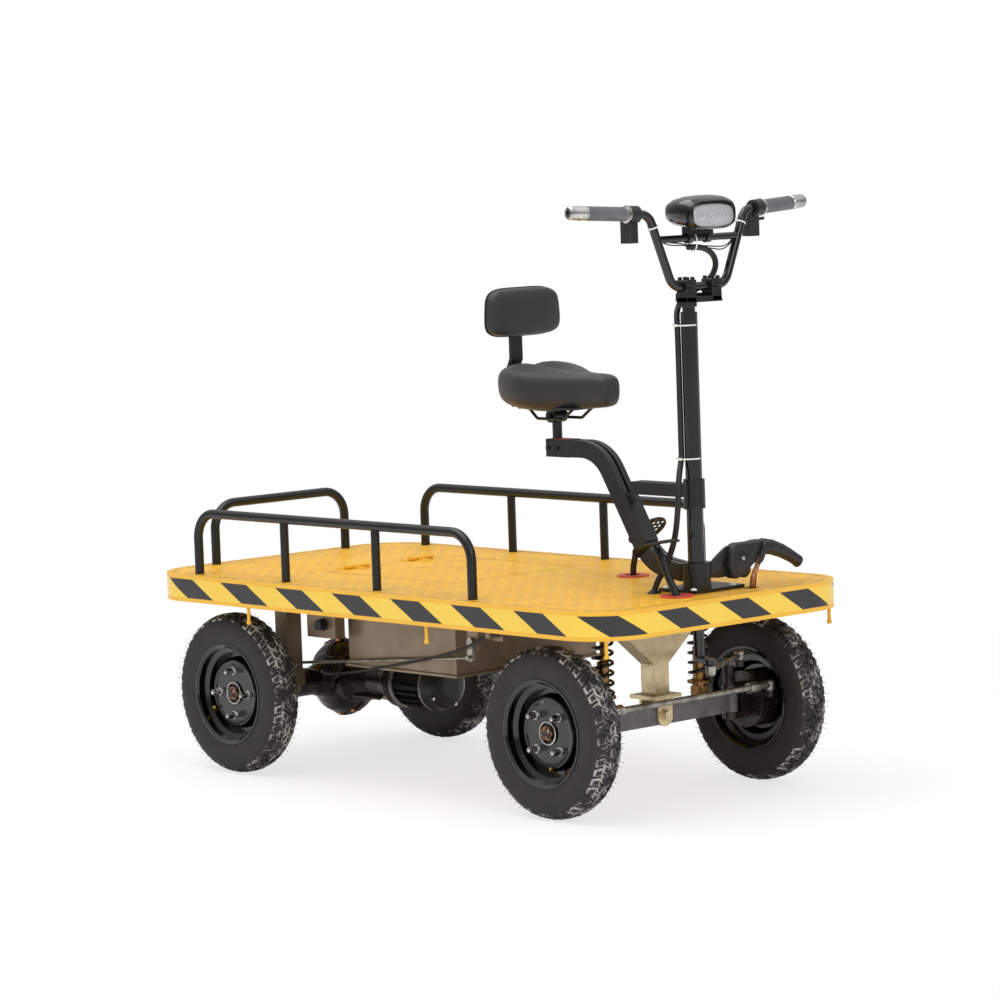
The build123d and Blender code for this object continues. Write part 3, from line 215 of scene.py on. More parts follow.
def plain_finish(name):
    """Two tints mixed by soft noise, a second noise for the roughness and a fine one for the bump."""
    dark, light, patch, low, high, metallic, grain, depth, coat = FINISHES[name]
    material, tree, shader = start_material(name, Metallic=metallic, Coat_Weight=coat, Coat_Roughness=0.12)
    place = add(tree, "ShaderNodeTexCoord").outputs["Object"]
    patches = add(tree, "ShaderNodeTexNoise", {"Scale": 1000 / patch, "Detail": 5, "Roughness": 0.62},
                  {"Vector": place})
    spread = add(tree, "ShaderNodeMapRange", {"From Min": 0.36, "From Max": 0.64},
                 {"Value": patches.outputs[0]})
    tint = add(tree, "ShaderNodeMix", {"data_type": "RGBA", 6: linear(dark), 7: linear(light)},
               {0: spread.outputs[0]})
    touch = add(tree, "ShaderNodeTexNoise", {"Scale": 2600 / patch, "Detail": 3}, {"Vector": place})
    fine = add(tree, "ShaderNodeTexNoise", {"Scale": 1000 / grain, "Detail": 2}, {"Vector": place})
    limits = {"From Min": 0.35, "From Max": 0.65, "To Min": low, "To Max": high}
    feed(tree, shader, tint.outputs[2], touch.outputs[0], limits, fine.outputs[0], depth)
    return material


finish = {name: plain_finish(name) for name in FINISHES}
print("plain finishes:", len(finish))

# %% [markdown]
# ## Hazard tape on the deck's edge
# The edge is enamelled in the deck's yellow and carries a brighter tape with black stripes that lean the
# same way all round. Paint on a flat strip would need an unwrapped map. Here the distance along the
# rounded outline is worked out from the place instead, so that the stripes run on round the corners:
# straight part + corner radius times the angle + the part along the end. The stripes then repeat on that
# distance, leaned by the height. Two tables of sums say this, and each row becomes one node.

# %% Hazard tape
DECK_HALF = (0.900, 0.450)
DECK_CORNER = 0.146
STRAIGHT_X = DECK_HALF[0] - DECK_CORNER
STRAIGHT_Y = DECK_HALF[1] - DECK_CORNER
HALF_ROUND = 2 * (STRAIGHT_X + DECK_CORNER * math.pi / 2 + STRAIGHT_Y)
TAPE_LOW = 0.4745
TAPE_HIGH = 0.5255
STRIPE_PITCH = 0.2305
STRIPE_WIDTH = 0.1105
STRIPE_LEAN = 1.72
STRIPE_START = 0.1185
# Where the hand-laid tape gets tighter towards the front, and by what share
TIGHT_FROM = 0.62
TIGHT_BY = 0.062
# How far inside the outline the edge's own faces still count as outside
EDGE_SLACK = 0.001
# Distance along the outline from the middle of the right side, forwards positive
DISTANCE_SUMS = (
    ("out_x", "ABSOLUTE", "x"),
    ("out_y", "ABSOLUTE", "y"),
    ("over_x", "SUBTRACT", "out_x", STRAIGHT_X),
    ("over_y", "SUBTRACT", "out_y", STRAIGHT_Y),
    ("past_x", "MAXIMUM", "over_x", 0.0),
    ("past_y", "MAXIMUM", "over_y", 0.0),
    ("from_x", "ARCTAN2", "past_y", "past_x"),
    ("from_y", "SUBTRACT", math.pi / 2, "from_x"),
    ("arc", "MULTIPLY", "from_y", DECK_CORNER),
    ("side", "MINIMUM", "out_x", STRAIGHT_X),
    ("along", "ADD", "side", "arc"),
    ("within_y", "MINIMUM", "out_y", STRAIGHT_Y),
    ("end", "SUBTRACT", STRAIGHT_Y, "within_y"),
    ("quarter", "ADD", "along", "end"),
    ("is_left", "GREATER_THAN", "y", 0.0),
    ("twice_left", "MULTIPLY", "is_left", 2.0),
    ("flip", "SUBTRACT", 1.0, "twice_left"),
    ("flipped", "MULTIPLY", "quarter", "flip"),
    ("far_side", "MULTIPLY", "is_left", HALF_ROUND),
    ("folded", "ADD", "flipped", "far_side"),
    ("forwards", "SIGN", "x"),
    ("distance", "MULTIPLY", "folded", "forwards"),
)
# One where a stripe is, and one where the tape is
STRIPE_SUMS = (
    ("down", "SUBTRACT", TAPE_HIGH, "z"),
    ("lean", "MULTIPLY", "down", STRIPE_LEAN),
    ("over_tight", "SUBTRACT", "distance", TIGHT_FROM),
    ("past_tight", "MAXIMUM", "over_tight", 0.0),
    ("tighter", "MULTIPLY", "past_tight", TIGHT_BY),
    ("laid", "ADD", "distance", "tighter"),
    ("leaned", "SUBTRACT", "laid", "lean"),
    ("shifted", "SUBTRACT", "leaned", STRIPE_START),
    ("phase", "FLOORED_MODULO", "shifted", STRIPE_PITCH),
    ("stripe", "LESS_THAN", "phase", STRIPE_WIDTH),
    ("above", "GREATER_THAN", "z", TAPE_LOW),
    ("below", "LESS_THAN", "z", TAPE_HIGH),
    ("between", "MULTIPLY", "above", "below"),
    ("square_x", "MULTIPLY", "past_x", "past_x"),
    ("square_y", "MULTIPLY", "past_y", "past_y"),
    ("square", "ADD", "square_x", "square_y"),
    ("reach", "SQRT", "square"),
    ("outside", "GREATER_THAN", "reach", DECK_CORNER - EDGE_SLACK),
    ("taped", "MULTIPLY", "between", "outside"),
)
# Dark and light tint of the enamel and of the tape's two colours
TAPE_TINTS = {
    "paint": ("#eaae24", "#f1ba36"),
    "yellow": ("#edc236", "#f4d050"),
    "black": ("#1f1d1f", "#2b282b"),
}


def taped_enamel():
    """Yellow enamel with the striped tape between its two edges, glossier than the paint."""
    material, tree, shader = start_material("yellow_enamel_with_hazard_tape", Coat_Weight=0.15)
    place = add(tree, "ShaderNodeTexCoord").outputs["Object"]
    x, y, z = add(tree, "ShaderNodeSeparateXYZ", links={"Vector": place}).outputs
    sums = work_out(tree, DISTANCE_SUMS + STRIPE_SUMS, x=x, y=y, z=z)
    patches = add(tree, "ShaderNodeTexNoise", {"Scale": 9.0, "Detail": 5}, {"Vector": place}).outputs[0]
    tints = {}
    for part, (dark, light) in TAPE_TINTS.items():
        pair = {"data_type": "RGBA", 6: linear(dark), 7: linear(light)}
        tints[part] = add(tree, "ShaderNodeMix", pair, {0: patches}).outputs[2]
    tape = add(tree, "ShaderNodeMix", {"data_type": "RGBA"},
               {0: sums["stripe"], 6: tints["yellow"], 7: tints["black"]})
    both = add(tree, "ShaderNodeMix", {"data_type": "RGBA"},
               {0: sums["taped"], 6: tints["paint"], 7: tape.outputs[2]})
    fine = add(tree, "ShaderNodeTexNoise", {"Scale": 300.0, "Detail": 2}, {"Vector": place})
    relief = work_out(tree, (("step", "MULTIPLY", "taped", 3.0), ("height", "ADD", "step", "fine")),
                      taped=sums["taped"], fine=fine.outputs[0])
    feed(tree, shader, both.outputs[2], sums["taped"], {"To Min": 0.40, "To Max": 0.26},
         relief["height"], 0.05, 0.6)
    return material


finish["taped_enamel"] = taped_enamel()
print("stripes along one side:", round(2 * DECK_HALF[0] / STRIPE_PITCH, 1))

# %% [markdown]
# ## Tyre rubber
# A new cross-ply tyre has a dull, dark grey sidewall with faint rings from its mould, and its tread
# edges are scuffed pale. The scuffs come from a point attribute that the tread's own function sets, so
# they sit exactly on the edges.

# %% Tyre rubber
def tyre_rubber():
    """Dark rubber that turns pale where the attribute 'scuff' is high."""
    material, tree, shader = start_material("moulded_tyre_rubber", Specular_IOR_Level=0.35)
    place = add(tree, "ShaderNodeTexCoord").outputs["Object"]
    cloud = add(tree, "ShaderNodeTexNoise", {"Scale": 22.0, "Detail": 6, "Roughness": 0.7},
                {"Vector": place}).outputs[0]
    dust = add(tree, "ShaderNodeTexNoise", {"Scale": 420.0, "Detail": 3}, {"Vector": place}).outputs[0]
    base = add(tree, "ShaderNodeMix", {"data_type": "RGBA", 6: linear("#1d1b1c"), 7: linear("#3a3738")},
               {0: cloud})
    scuff = add(tree, "ShaderNodeAttribute", {"attribute_name": "scuff"}).outputs["Fac"]
    broken = add(tree, "ShaderNodeMapRange", {"From Min": 0.46, "From Max": 0.60}, {"Value": cloud})
    worn = work_out(tree, (("worn", "MULTIPLY", "scuff", "broken"),), scuff=scuff, broken=broken.outputs[0])
    tint = add(tree, "ShaderNodeMix", {"data_type": "RGBA", 7: linear("#c4c1ba")},
               {0: worn["worn"], 6: base.outputs[2]})
    feed(tree, shader, tint.outputs[2], dust, {"To Min": 0.52, "To Max": 0.78}, dust, 0.12)
    return material


finish["tyre_rubber"] = tyre_rubber()
print("tyre rubber made")

# %% [markdown]
# ## Seat vinyl
# The saddle and the backrest are covered in grained vinyl: small rounded cells about 1.5 mm wide with
# creases between them. A Voronoi pattern gives the cells, and a little sheen lifts the edges as soft
# vinyl does.

# %% Seat vinyl
def seat_vinyl():
    """Dark grey vinyl with a leather grain and a slight sheen."""
    material, tree, shader = start_material("grained_vinyl", Sheen_Weight=0.12, Sheen_Roughness=0.45)
    place = add(tree, "ShaderNodeTexCoord").outputs["Object"]
    cloud = add(tree, "ShaderNodeTexNoise", {"Scale": 14.0, "Detail": 4}, {"Vector": place})
    base = add(tree, "ShaderNodeMix", {"data_type": "RGBA", 6: linear("#1b1b1d"), 7: linear("#2a2a2d")},
               {0: cloud.outputs[0]})
    cells = add(tree, "ShaderNodeTexVoronoi", {"feature": "DISTANCE_TO_EDGE", "Scale": 620.0},
                {"Vector": place})
    crease = add(tree, "ShaderNodeMapRange", {"From Max": 0.12}, {"Value": cells.outputs["Distance"]})
    feed(tree, shader, base.outputs[2], crease.outputs[0], {"To Min": 0.60, "To Max": 0.46},
         crease.outputs[0], 0.15, 0.7)
    return material


finish["vinyl"] = seat_vinyl()
print("seat vinyl made")

# %% [markdown]
# ## Lamp lens
# The lens is clear polycarbonate. A real one refracts, and here a thin, slightly rough transmission with
# its true index is enough, because the reflector behind it is modelled.

# %% Lamp lens
def clear_lens():
    """Clear polycarbonate, index 1.58, with faint flutes that spread the light."""
    material, tree, shader = start_material("clear_polycarbonate", Transmission_Weight=0.9, IOR=1.58)
    shader.inputs["Base Color"].default_value = linear("#f7f8fa")
    place = add(tree, "ShaderNodeTexCoord").outputs["Object"]
    flutes = add(tree, "ShaderNodeTexWave", {"bands_direction": "Y", "Scale": 60.0}, {"Vector": place})
    cloud = add(tree, "ShaderNodeTexNoise", {"Scale": 40.0}, {"Vector": place})
    feed(tree, shader, None, cloud.outputs[0], {"To Min": 0.03, "To Max": 0.12},
         flutes.outputs["Fac"], 0.2, 0.25)
    return material


finish["lens"] = clear_lens()
print("lamp lens made")

# %% [markdown]
# ## Motor
# The motor's mounting ring and the rim of its end bell are bare aluminium, and the finned body and the
# bell itself are black. They are stacked along X, so the place along X tells which finish applies.

# %% Motor
MOTOR_RING_FRONT = -0.3425
MOTOR_BELL_REAR = -0.2360
MOTOR_BELL_FRONT = -0.2260
# One on the black body: before the ring's front, and not on the bell's rim
MOTOR_SUMS = (
    ("behind", "GREATER_THAN", "x", MOTOR_BELL_REAR),
    ("before", "LESS_THAN", "x", MOTOR_BELL_FRONT),
    ("rim", "MULTIPLY", "behind", "before"),
    ("past_ring", "GREATER_THAN", "x", MOTOR_RING_FRONT),
    ("body", "SUBTRACT", "past_ring", "rim"),
)
MOTOR_TINTS = (("#9d9a96", "#cbc8c4"), ("#0b0b0c", "#19191a"))


def motor_finish():
    """Bare aluminium behind the ring's front and on the bell's rim, black paint elsewhere."""
    material, tree, shader = start_material("motor_aluminium_and_black")
    place = add(tree, "ShaderNodeTexCoord").outputs["Object"]
    x = add(tree, "ShaderNodeSeparateXYZ", links={"Vector": place}).outputs[0]
    body = work_out(tree, MOTOR_SUMS, x=x)["body"]
    cloud = add(tree, "ShaderNodeTexNoise", {"Scale": 45.0, "Detail": 4}, {"Vector": place}).outputs[0]
    bare, black = [add(tree, "ShaderNodeMix", {"data_type": "RGBA", 6: linear(dark), 7: linear(light)},
                       {0: cloud}).outputs[2] for dark, light in MOTOR_TINTS]
    both = add(tree, "ShaderNodeMix", {"data_type": "RGBA"}, {0: body, 6: bare, 7: black})
    metal = add(tree, "ShaderNodeMapRange", {"To Min": 1.0, "To Max": 0.0}, {"Value": body})
    tree.links.new(metal.outputs[0], shader.inputs["Metallic"])
    sand = add(tree, "ShaderNodeTexNoise", {"Scale": 900.0, "Detail": 2}, {"Vector": place}).outputs[0]
    feed(tree, shader, both.outputs[2], cloud, {"To Min": 0.26, "To Max": 0.46}, sand, 0.06)
    return material


finish["motor"] = motor_finish()
print("special finishes:", len(finish) - len(FINISHES))

# %% [markdown]
# ## Finishes of the solids
# Each solid keeps its shape and only gets a material in its slots. The table follows how the truck is
# made: the deck is enamelled, the rails are powder coated, the underside is zinc plated, and the
# castings are painted black.

# %% Give the solids their finishes
# Each wheel's axle along x in mm, and its side
WHEELS = {
    "front_right": (617.5, -1),
    "front_left": (617.5, 1),
    "rear_right": (-617.5, -1),
    "rear_left": (-617.5, 1),
}


def four(part):
    """Names of a part that each wheel has."""
    return tuple(f"{part}_{wheel}" for wheel in WHEELS)


NODE_FINISHES = {
    "yellow_satin_enamel": ("deck_plate", "deck_hatch", "hatch_hinges", "tie_down_pegs"),
    "taped_enamel": ("deck_skirt",),
    "satin_black_powder_coat": ("rail_right", "rail_left", "rail_rear", "seat_bracket", "column_link",
                                "column_base", "backrest_stalk", "saddle_frame", "seat_post"),
    "gloss_black_enamel": ("steering_column", "bar_clamps", "handlebar", "springs") + four("rim"),
    "dark_grey_frame_paint": ("deck_frame", "cross_members", "front_axle_beam"),
    "black_painted_casting": ("rear_axle", "knuckle_right", "knuckle_left") + four("hub"),
    "yellow_passivated_zinc": ("battery_tray", "side_brackets", "rear_hangers"),
    "gold_passivated_zinc": ("front_axle_bracket",),
    "bronze_damper_sleeve": ("dampers",),
    "raw_rolled_steel": ("tie_rod", "drag_link", "brake_rod"),
    "bright_plated_steel": ("grips",),
    "motor": ("drive_motor",),
    "black_moulded_plastic": ("hand_brake", "battery", "charge_knob", "switch_housings"),
    "glossy_black_plastic": ("headlight",),
    "lens": ("headlight_lens",),
    "red_moulded_rubber": ("pedal_boots",),
    "black_moulded_rubber": ("pedals",),
    "black_cable_sheath": ("brake_cable", "loom_column", "loom_lower"),
    "tyre_rubber": four("tyre"),
    "vinyl": ("saddle", "backrest_pad"),
}


def dress(node, material):
    """Put one material in every slot of a solid."""
    solid = bpy.data.objects[node]
    solid.data.materials.clear()
    solid.data.materials.append(material)


for finish_name, nodes in NODE_FINISHES.items():
    for node in nodes:
        dress(node, finish[finish_name])
print("solids dressed:", sum(len(nodes) for nodes in NODE_FINISHES.values()))

# %% [markdown]
# ## Shapes from formulas
# Everything that is added below is a surface of rows and columns of points: a profile turned about an
# axis, a round section carried along a path, or a shape given by its own formula. Each is a list of
# points in metres and a list of four-sided faces. One function turns such a pair into a mesh, closes the
# poles and seams by merging equal points, and lets it ride on a body of the truck.

# %% Shape helpers
def net(points):
    """Faces over a (rows, columns, 3) net of points: each joins (i, j), (i+1, j), (i+1, j+1), (i, j+1).

    The last column joins the first one again.
    """
    rows, columns = points.shape[:2]
    i, j = np.meshgrid(np.arange(rows - 1), np.arange(columns), indexing="ij")
    here, above = i * columns, (i + 1) * columns
    k = (j + 1) % columns
    faces = np.stack([here + j, above + j, above + k, here + k], axis=-1)
    return points.reshape(-1, 3), faces.reshape(-1, 4)


def closed(points):
    """Net of points in mm, with a row before and after it that lies in the middle of its end row."""
    ends = [points[[i]].mean(axis=1, keepdims=True).repeat(points.shape[1], axis=1) for i in (0, -1)]
    return net(np.concatenate((ends[0], points, ends[1])) * MM)


def full_turn(steps):
    """Angles of one turn in equal steps, without the last one, which is the first again."""
    return np.linspace(0, 2 * np.pi, steps, endpoint=False)


def squarer(wave, power):
    """Sine or cosine w as sign(w) |w|^p: a power under one makes an oval squarer."""
    return np.sign(wave) * np.abs(wave) ** power


def join(shapes):
    """One shape from many: points end to end, faces shifted by the points before them."""
    shapes = list(shapes)
    starts = np.cumsum([0] + [len(points) for points, _ in shapes[:-1]])
    points = np.concatenate([points for points, _ in shapes])
    faces = np.concatenate([faces + start for (_, faces), start in zip(shapes, starts)])
    return points, faces


def axes_about(axis):
    """Unit vectors u, v and a: a along the axis, u and v square to it and to each other."""
    a = np.array(axis, float) / np.linalg.norm(axis)
    helper = np.array((0, 0, 1.0)) if abs(a[2]) < 0.9 else np.array((1.0, 0, 0))
    u = np.cross(helper, a)
    u /= np.linalg.norm(u)
    return u, np.cross(a, u), a


def revolve(profile, centre, axis, steps=32, turn=0.0):
    """Profile of (along, radius) in mm turned: P = centre + along a + radius (cos t u + sin t v)."""
    u, v, a = axes_about(axis)
    along, radius = np.array(profile, float).T
    t = np.radians(turn) + full_turn(steps)
    ring = np.cos(t)[:, None] * u + np.sin(t)[:, None] * v
    points = np.array(centre, float) + along[:, None, None] * a + radius[:, None, None] * ring
    return net(points * MM)


def tube(path, radius, sides=12):
    """Round section along a path in metres: each ring lies square to the path, turned as little as can be."""
    path = np.array(path, float)
    run = np.gradient(path, axis=0)
    run /= np.linalg.norm(run, axis=1)[:, None]
    u = axes_about(run[0])[0]
    t = full_turn(sides)
    rings = []
    for place, ahead in zip(path, run):
        u = u - ahead * np.dot(u, ahead)
        u /= np.linalg.norm(u)
        v = np.cross(ahead, u)
        rings.append(place + radius * MM * (np.cos(t)[:, None] * u + np.sin(t)[:, None] * v))
    first, last = [np.repeat(path[[i]], sides, axis=0) for i in (0, -1)]
    return net(np.array([first] + rings + [last]))


def slab(x0, x1, y0, y1, z0, z1):
    """Block of six sides, in mm: its four corners at both heights, closed below and above."""
    corners = np.array(((x0, y0), (x1, y0), (x1, y1), (x0, y1)), float)
    return closed(np.array([np.column_stack([corners, np.full(4, z)]) for z in (z0, z1)], float))


def piece(name, shape, material, body="root", replaces=(), sharp=40, scuff=None):
    """Mesh object from a shape: equal points merged, faces outward, smooth up to the sharp angle.

    It rides on its body, or on none where none is given. Scuff is a value per point.
    """
    points, faces = shape
    mesh = bpy.data.meshes.new(name)
    mesh.from_pydata(points.tolist(), [], faces.tolist())
    if scuff is not None:
        worn = mesh.attributes.new("scuff", "FLOAT", "POINT")
        worn.data.foreach_set("value", np.array(scuff, np.float32))
    build = bmesh.new()
    build.from_mesh(mesh)
    bmesh.ops.remove_doubles(build, verts=build.verts, dist=1e-6)
    bmesh.ops.recalc_face_normals(build, faces=build.faces)
    build.to_mesh(mesh)
    build.free()
    mesh.shade_smooth()
    mesh.set_sharp_from_angle(angle=math.radians(sharp))
    mesh.materials.append(material)
    made = bpy.data.objects.new(name, mesh)
    bpy.context.scene.collection.objects.link(made)
    if body:
        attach(made, body)
    if replaces:
        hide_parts(*replaces)
    print(name, len(mesh.polygons), "faces")
    return made


def bolt_head(place, axis, across, high):
    """Hexagon head with a chamfered top: across its corners and high, in mm."""
    r = across / 2
    profile = ((-1, 0), (-1, r), (0.75 * high, r), (high, 0.88 * r), (high, 0))
    return revolve(profile, place, axis, 6)


def dome_head(place, axis, across, high):
    """Round head, a flat dome: radius falls as the square root of what is left of the height."""
    rise = np.linspace(0, 1, 7)
    profile = [(-1, 0), (-1, across / 2)] + [(high * s, across / 2 * math.sqrt(1 - s * s)) for s in rise]
    return revolve(profile, place, axis, 20)


# %% [markdown]
# ## Cables
# The loom leaves the cross bar, goes round behind the left clamp, runs down the column and then hangs
# free to its grommet in the deck. Its column part turns with the steering and its lower part stays; here
# both are one tube, which rides on no body. Its path is a smooth spline through space with the same
# control points as the solids' route. The brake cable is made in the same way.

# %% Loom and brake cable
# Control points of each route in metres, chosen along what the cable follows
LOOM_COLUMN = (
    (0.806, -0.030, 1.398), (0.804, 0.000, 1.397), (0.798, 0.034, 1.393), (0.787, 0.070, 1.381),
    (0.776, 0.097, 1.360), (0.766, 0.104, 1.335), (0.755, 0.092, 1.310), (0.742, 0.067, 1.292),
    (0.734, 0.036, 1.277), (0.733, 0.009, 1.259), (0.740, -0.011, 1.236), (0.749, -0.019, 1.206),
    (0.7515, -0.0205, 1.170), (0.7515, -0.0205, 0.880),
)
LOOM_LOWER = (
    (0.7518, -0.021, 0.876), (0.755, -0.028, 0.858), (0.762, -0.041, 0.836), (0.768, -0.0505, 0.808),
    (0.769, -0.054, 0.776), (0.765, -0.054, 0.742), (0.756, -0.050, 0.708), (0.743, -0.045, 0.673),
    (0.731, -0.045, 0.643), (0.722, -0.050, 0.618), (0.712, -0.059, 0.591), (0.699, -0.069, 0.562),
    (0.693, -0.073, 0.540), (0.693, -0.073, 0.526),
)
BRAKE_CABLE = (
    (0.819, 0.148, 0.4996), (0.819, 0.147, 0.478), (0.808, 0.130, 0.462), (0.778, 0.086, 0.455),
    (0.742, 0.028, 0.452), (0.706, -0.026, 0.450), (0.676, -0.078, 0.449), (0.656, -0.110, 0.450),
    (0.630, -0.124, 0.451), (0.598, -0.125, 0.451), (0.560, -0.134, 0.450), (0.515, -0.156, 0.449),
    (0.468, -0.186, 0.447), (0.415, -0.222, 0.443), (0.362, -0.254, 0.437), (0.300, -0.276, 0.428),
    (0.245, -0.278, 0.402), (0.186, -0.277, 0.379), (0.100, -0.276, 0.356), (0.005, -0.277, 0.335),
    (-0.060, -0.277, 0.323), (-0.118, -0.276, 0.312), (-0.200, -0.277, 0.297), (-0.274, -0.274, 0.284),
    (-0.350, -0.262, 0.275), (-0.415, -0.236, 0.268), (-0.464, -0.200, 0.264), (-0.494, -0.170, 0.262),
    (-0.508, -0.149, 0.262),
)
LOOM_RADIUS = 7.5
BRAKE_CABLE_RADIUS = 3.5
# Rubber grommet in the deck plate: its place in mm, and its profile as height and radius in mm
GROMMET_PLACE = (693, -73)
GROMMET_PROFILE = ((524, 7), (524, 13), (536, 13), (536, 18), (538, 18), (541, 13), (545, 9), (545, 7))


def spline_points(route):
    """Points along a NURBS spline whose control points are the route's."""
    data = bpy.data.curves.new("route", "CURVE")
    data.dimensions = "3D"
    data.resolution_u = 8
    spline = data.splines.new("NURBS")
    spline.points.add(len(route) - 1)
    for point, place in zip(spline.points, route):
        point.co = (*place, 1.0)
    spline.order_u = 3
    spline.use_endpoint_u = True
    holder = bpy.data.objects.new("route", data)
    line = bpy.data.meshes.new_from_object(holder)
    points = np.array([tuple(vertex.co) for vertex in line.vertices])
    bpy.data.objects.remove(holder)
    bpy.data.meshes.remove(line)
    return points


def make_cables():
    """Loom with its grommet, on no body, and the brake cable."""
    route = spline_points(LOOM_COLUMN + LOOM_LOWER)
    grommet = revolve(GROMMET_PROFILE, (*GROMMET_PLACE, 0), (0, 0, 1))
    shape = join((tube(route, LOOM_RADIUS, 16), grommet))
    loom = piece("cable_loom", shape, finish["black_cable_sheath"], None, ("loom_column", "loom_lower"))
    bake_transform(loom)
    sheath = tube(spline_points(BRAKE_CABLE), BRAKE_CABLE_RADIUS)
    piece("brake_cable_sheath", sheath, finish["black_cable_sheath"], "root", ("brake_cable",))


make_cables()

# %% [markdown]
# ## Wires and ties on the handlebar
# Thin wires run from the switches and the grips along the bar to the loom, and sag a little below the
# cross bar. White nylon ties hold them. A tie is a closed band with its head, drawn round what it
# holds.

# %% Wires and ties
# Wires on the left and right of the cross bar, from the bar's leg to the loom, in metres
BAR_WIRES = (
    ((0.801, -0.150, 1.432), (0.806, -0.128, 1.415), (0.812, -0.096, 1.404), (0.812, -0.060, 1.404),
     (0.808, -0.028, 1.400)),
    ((0.800, -0.154, 1.438), (0.806, -0.130, 1.421), (0.811, -0.100, 1.411), (0.811, -0.064, 1.409),
     (0.807, -0.024, 1.402)),
    ((0.802, 0.150, 1.434), (0.807, 0.122, 1.402), (0.810, 0.088, 1.386), (0.808, 0.052, 1.391),
     (0.806, 0.010, 1.398)),
    ((0.800, 0.152, 1.438), (0.805, 0.128, 1.408), (0.808, 0.094, 1.394), (0.806, 0.058, 1.396),
     (0.804, 0.014, 1.400)),
)
WIRE_RADIUS = 1.6
TIE_WIDTH = 3.5
TIE_THICK = 1.2
# Half sizes of a tie's head
TIE_HEAD = (2.5, 2.5, 3)
# Middle of each tie, the way that what it holds runs, and the two radii of its oval, in mm
TIES = (
    ((810, -153.5, 1452), (0, -0.385, 0.923), (12.4, 12.4)),
    ((810, 153.5, 1452), (0, 0.385, 0.923), (12.4, 12.4)),
    ((808, -14, 1410), (0, 1, 0), (13, 23)),
    ((764, -8, 1204), (0, 0, 1), (29, 30)),
    ((764, -8, 872), (0, 0, 1), (29, 30)),
)


def tie(centre, axis, radii):
    """Flat closed band: P = centre + w a + (r1 + d) cos t u + (r2 + d) sin t v, and a small square head."""
    u, v, a = axes_about(axis)
    t = full_turn(48)[None, :, None]
    # Section of the band: across it and how far out, each as a share
    section = np.array(((-0.5, 0), (-0.5, 1), (0.5, 1), (0.5, 0), (-0.5, 0)), float)
    out = TIE_THICK * section[:, 1][:, None, None]
    points = np.array(centre, float) + TIE_WIDTH * section[:, 0][:, None, None] * a
    points = points + (radii[0] + out) * np.cos(t) * u + (radii[1] + out) * np.sin(t) * v
    x, y, z = np.array(centre) + (radii[0] + 1.5) * u
    dx, dy, dz = TIE_HEAD
    return join((net(points * MM), slab(x - dx, x + dx, y - dy, y + dy, z - dz, z + dz)))


def make_bar_wires():
    """Wires along the bar and the ties that hold them, all of which turn with the steering."""
    wires = [tube(spline_points(route), WIRE_RADIUS, 8) for route in BAR_WIRES]
    piece("bar_wires", join(wires), finish["black_cable_sheath"], "steering")
    piece("cable_ties", join(tie(*row) for row in TIES), finish["white_nylon"], "steering")


make_bar_wires()

# %% [markdown]
# ## Checker plate
# The deck and the hatch are rolled plate with small raised bars, each turned square to its neighbours.
# A rolling mill presses them in, so they are bars with pointed ends and a rounded back, nearly a
# millimetre high. They are left out where something stands on the plate or a hole goes through it. Three
# tabs of yellow tape lie on the lid's front edge, by which it is pulled up.

# %% Checker plate
BAR_PITCH = 26.0
BAR_HALF = (11.0, 2.6)
# Height of a bar's shoulder, of its top above that, and how deep its foot sits in the plate
BAR_HIGH = 0.8
BAR_TOP = 0.1
BAR_SUNK = 0.3
# The first bar's middle lies this far from the deck's middle, in x and y
BAR_START = (858, 403)
# Bars keep within this rounded outline: half length, half width and corner, less than the deck's own
BAR_FIELD = (862, 412, 132)
BARE_MARGIN = 8
DECK_TOP = 536.0
# The lid's rear, front, right and left edge, and the room that bars leave inside and outside it
HATCH_EDGES = (-430, 70, -190, 242)
HATCH_ROOM = (14, 12)
# Bare room for the hinges: behind and before the lid's rear edge, and past its sides
HINGE_ROOM = (40, 60, 4)
# Pull tabs on the lid's front edge: from y to y, and behind the edge from x to x
PULL_TABS = ((141, 197), (-101, -89), (226, 236))
PULL_TAB_REACH = (12, 2)
PULL_TAB_HIGH = 1.2
# Places that stay bare: centre x and y, half length and half width in mm
BARE_PLACES = tuple((x, side * 407, 24, 22) for x in (-713, -347, 20, 386) for side in SIDES) + (
    (-860, 233, 24, 22), (-860, -233, 24, 22), (741, 47, 74, 96), (816, 140, 34, 34), (693, -73, 26, 26),
    (793, -93, 50, 50), (374, 166, 50, 50), (772, 0, 44, 44), (-850, 0, 24, 240),
)


def raised_bar(x, y, turn):
    """Lens-shaped bar: six corners in the plate, six on its shoulder and one point on top, turned and moved.

    Each ring is P = (x + a cos t - b sin t, y + a sin t + b cos t, z + height).
    """
    outline = np.array(((-1, 0), (-0.5, -1), (0.5, -1), (1, 0), (0.5, 1), (-0.5, 1))) * BAR_HALF
    shoulder = outline * (0.72, 0.45)
    c, s = math.cos(turn), math.sin(turn)
    rows = []
    for flat, high in ((outline, -BAR_SUNK), (shoulder, BAR_HIGH), (0 * outline, BAR_HIGH + BAR_TOP)):
        a, b = flat.T
        rows.append(np.column_stack([x + c * a - s * b, y + s * a + c * b, np.full(6, DECK_TOP + high)]))
    return net(np.array(rows) * MM)


def on_deck(x, y):
    """True where a bar fits: inside the rounded outline and clear of every bare place."""
    half_long, half_wide, corner = BAR_FIELD
    past_x = max(abs(x) - (half_long - corner), 0)
    past_y = max(abs(y) - (half_wide - corner), 0)
    if math.hypot(past_x, past_y) > corner:
        return False
    return all(abs(x - middle_x) > half_x + BARE_MARGIN or abs(y - middle_y) > half_y + BARE_MARGIN
               for middle_x, middle_y, half_x, half_y in BARE_PLACES)


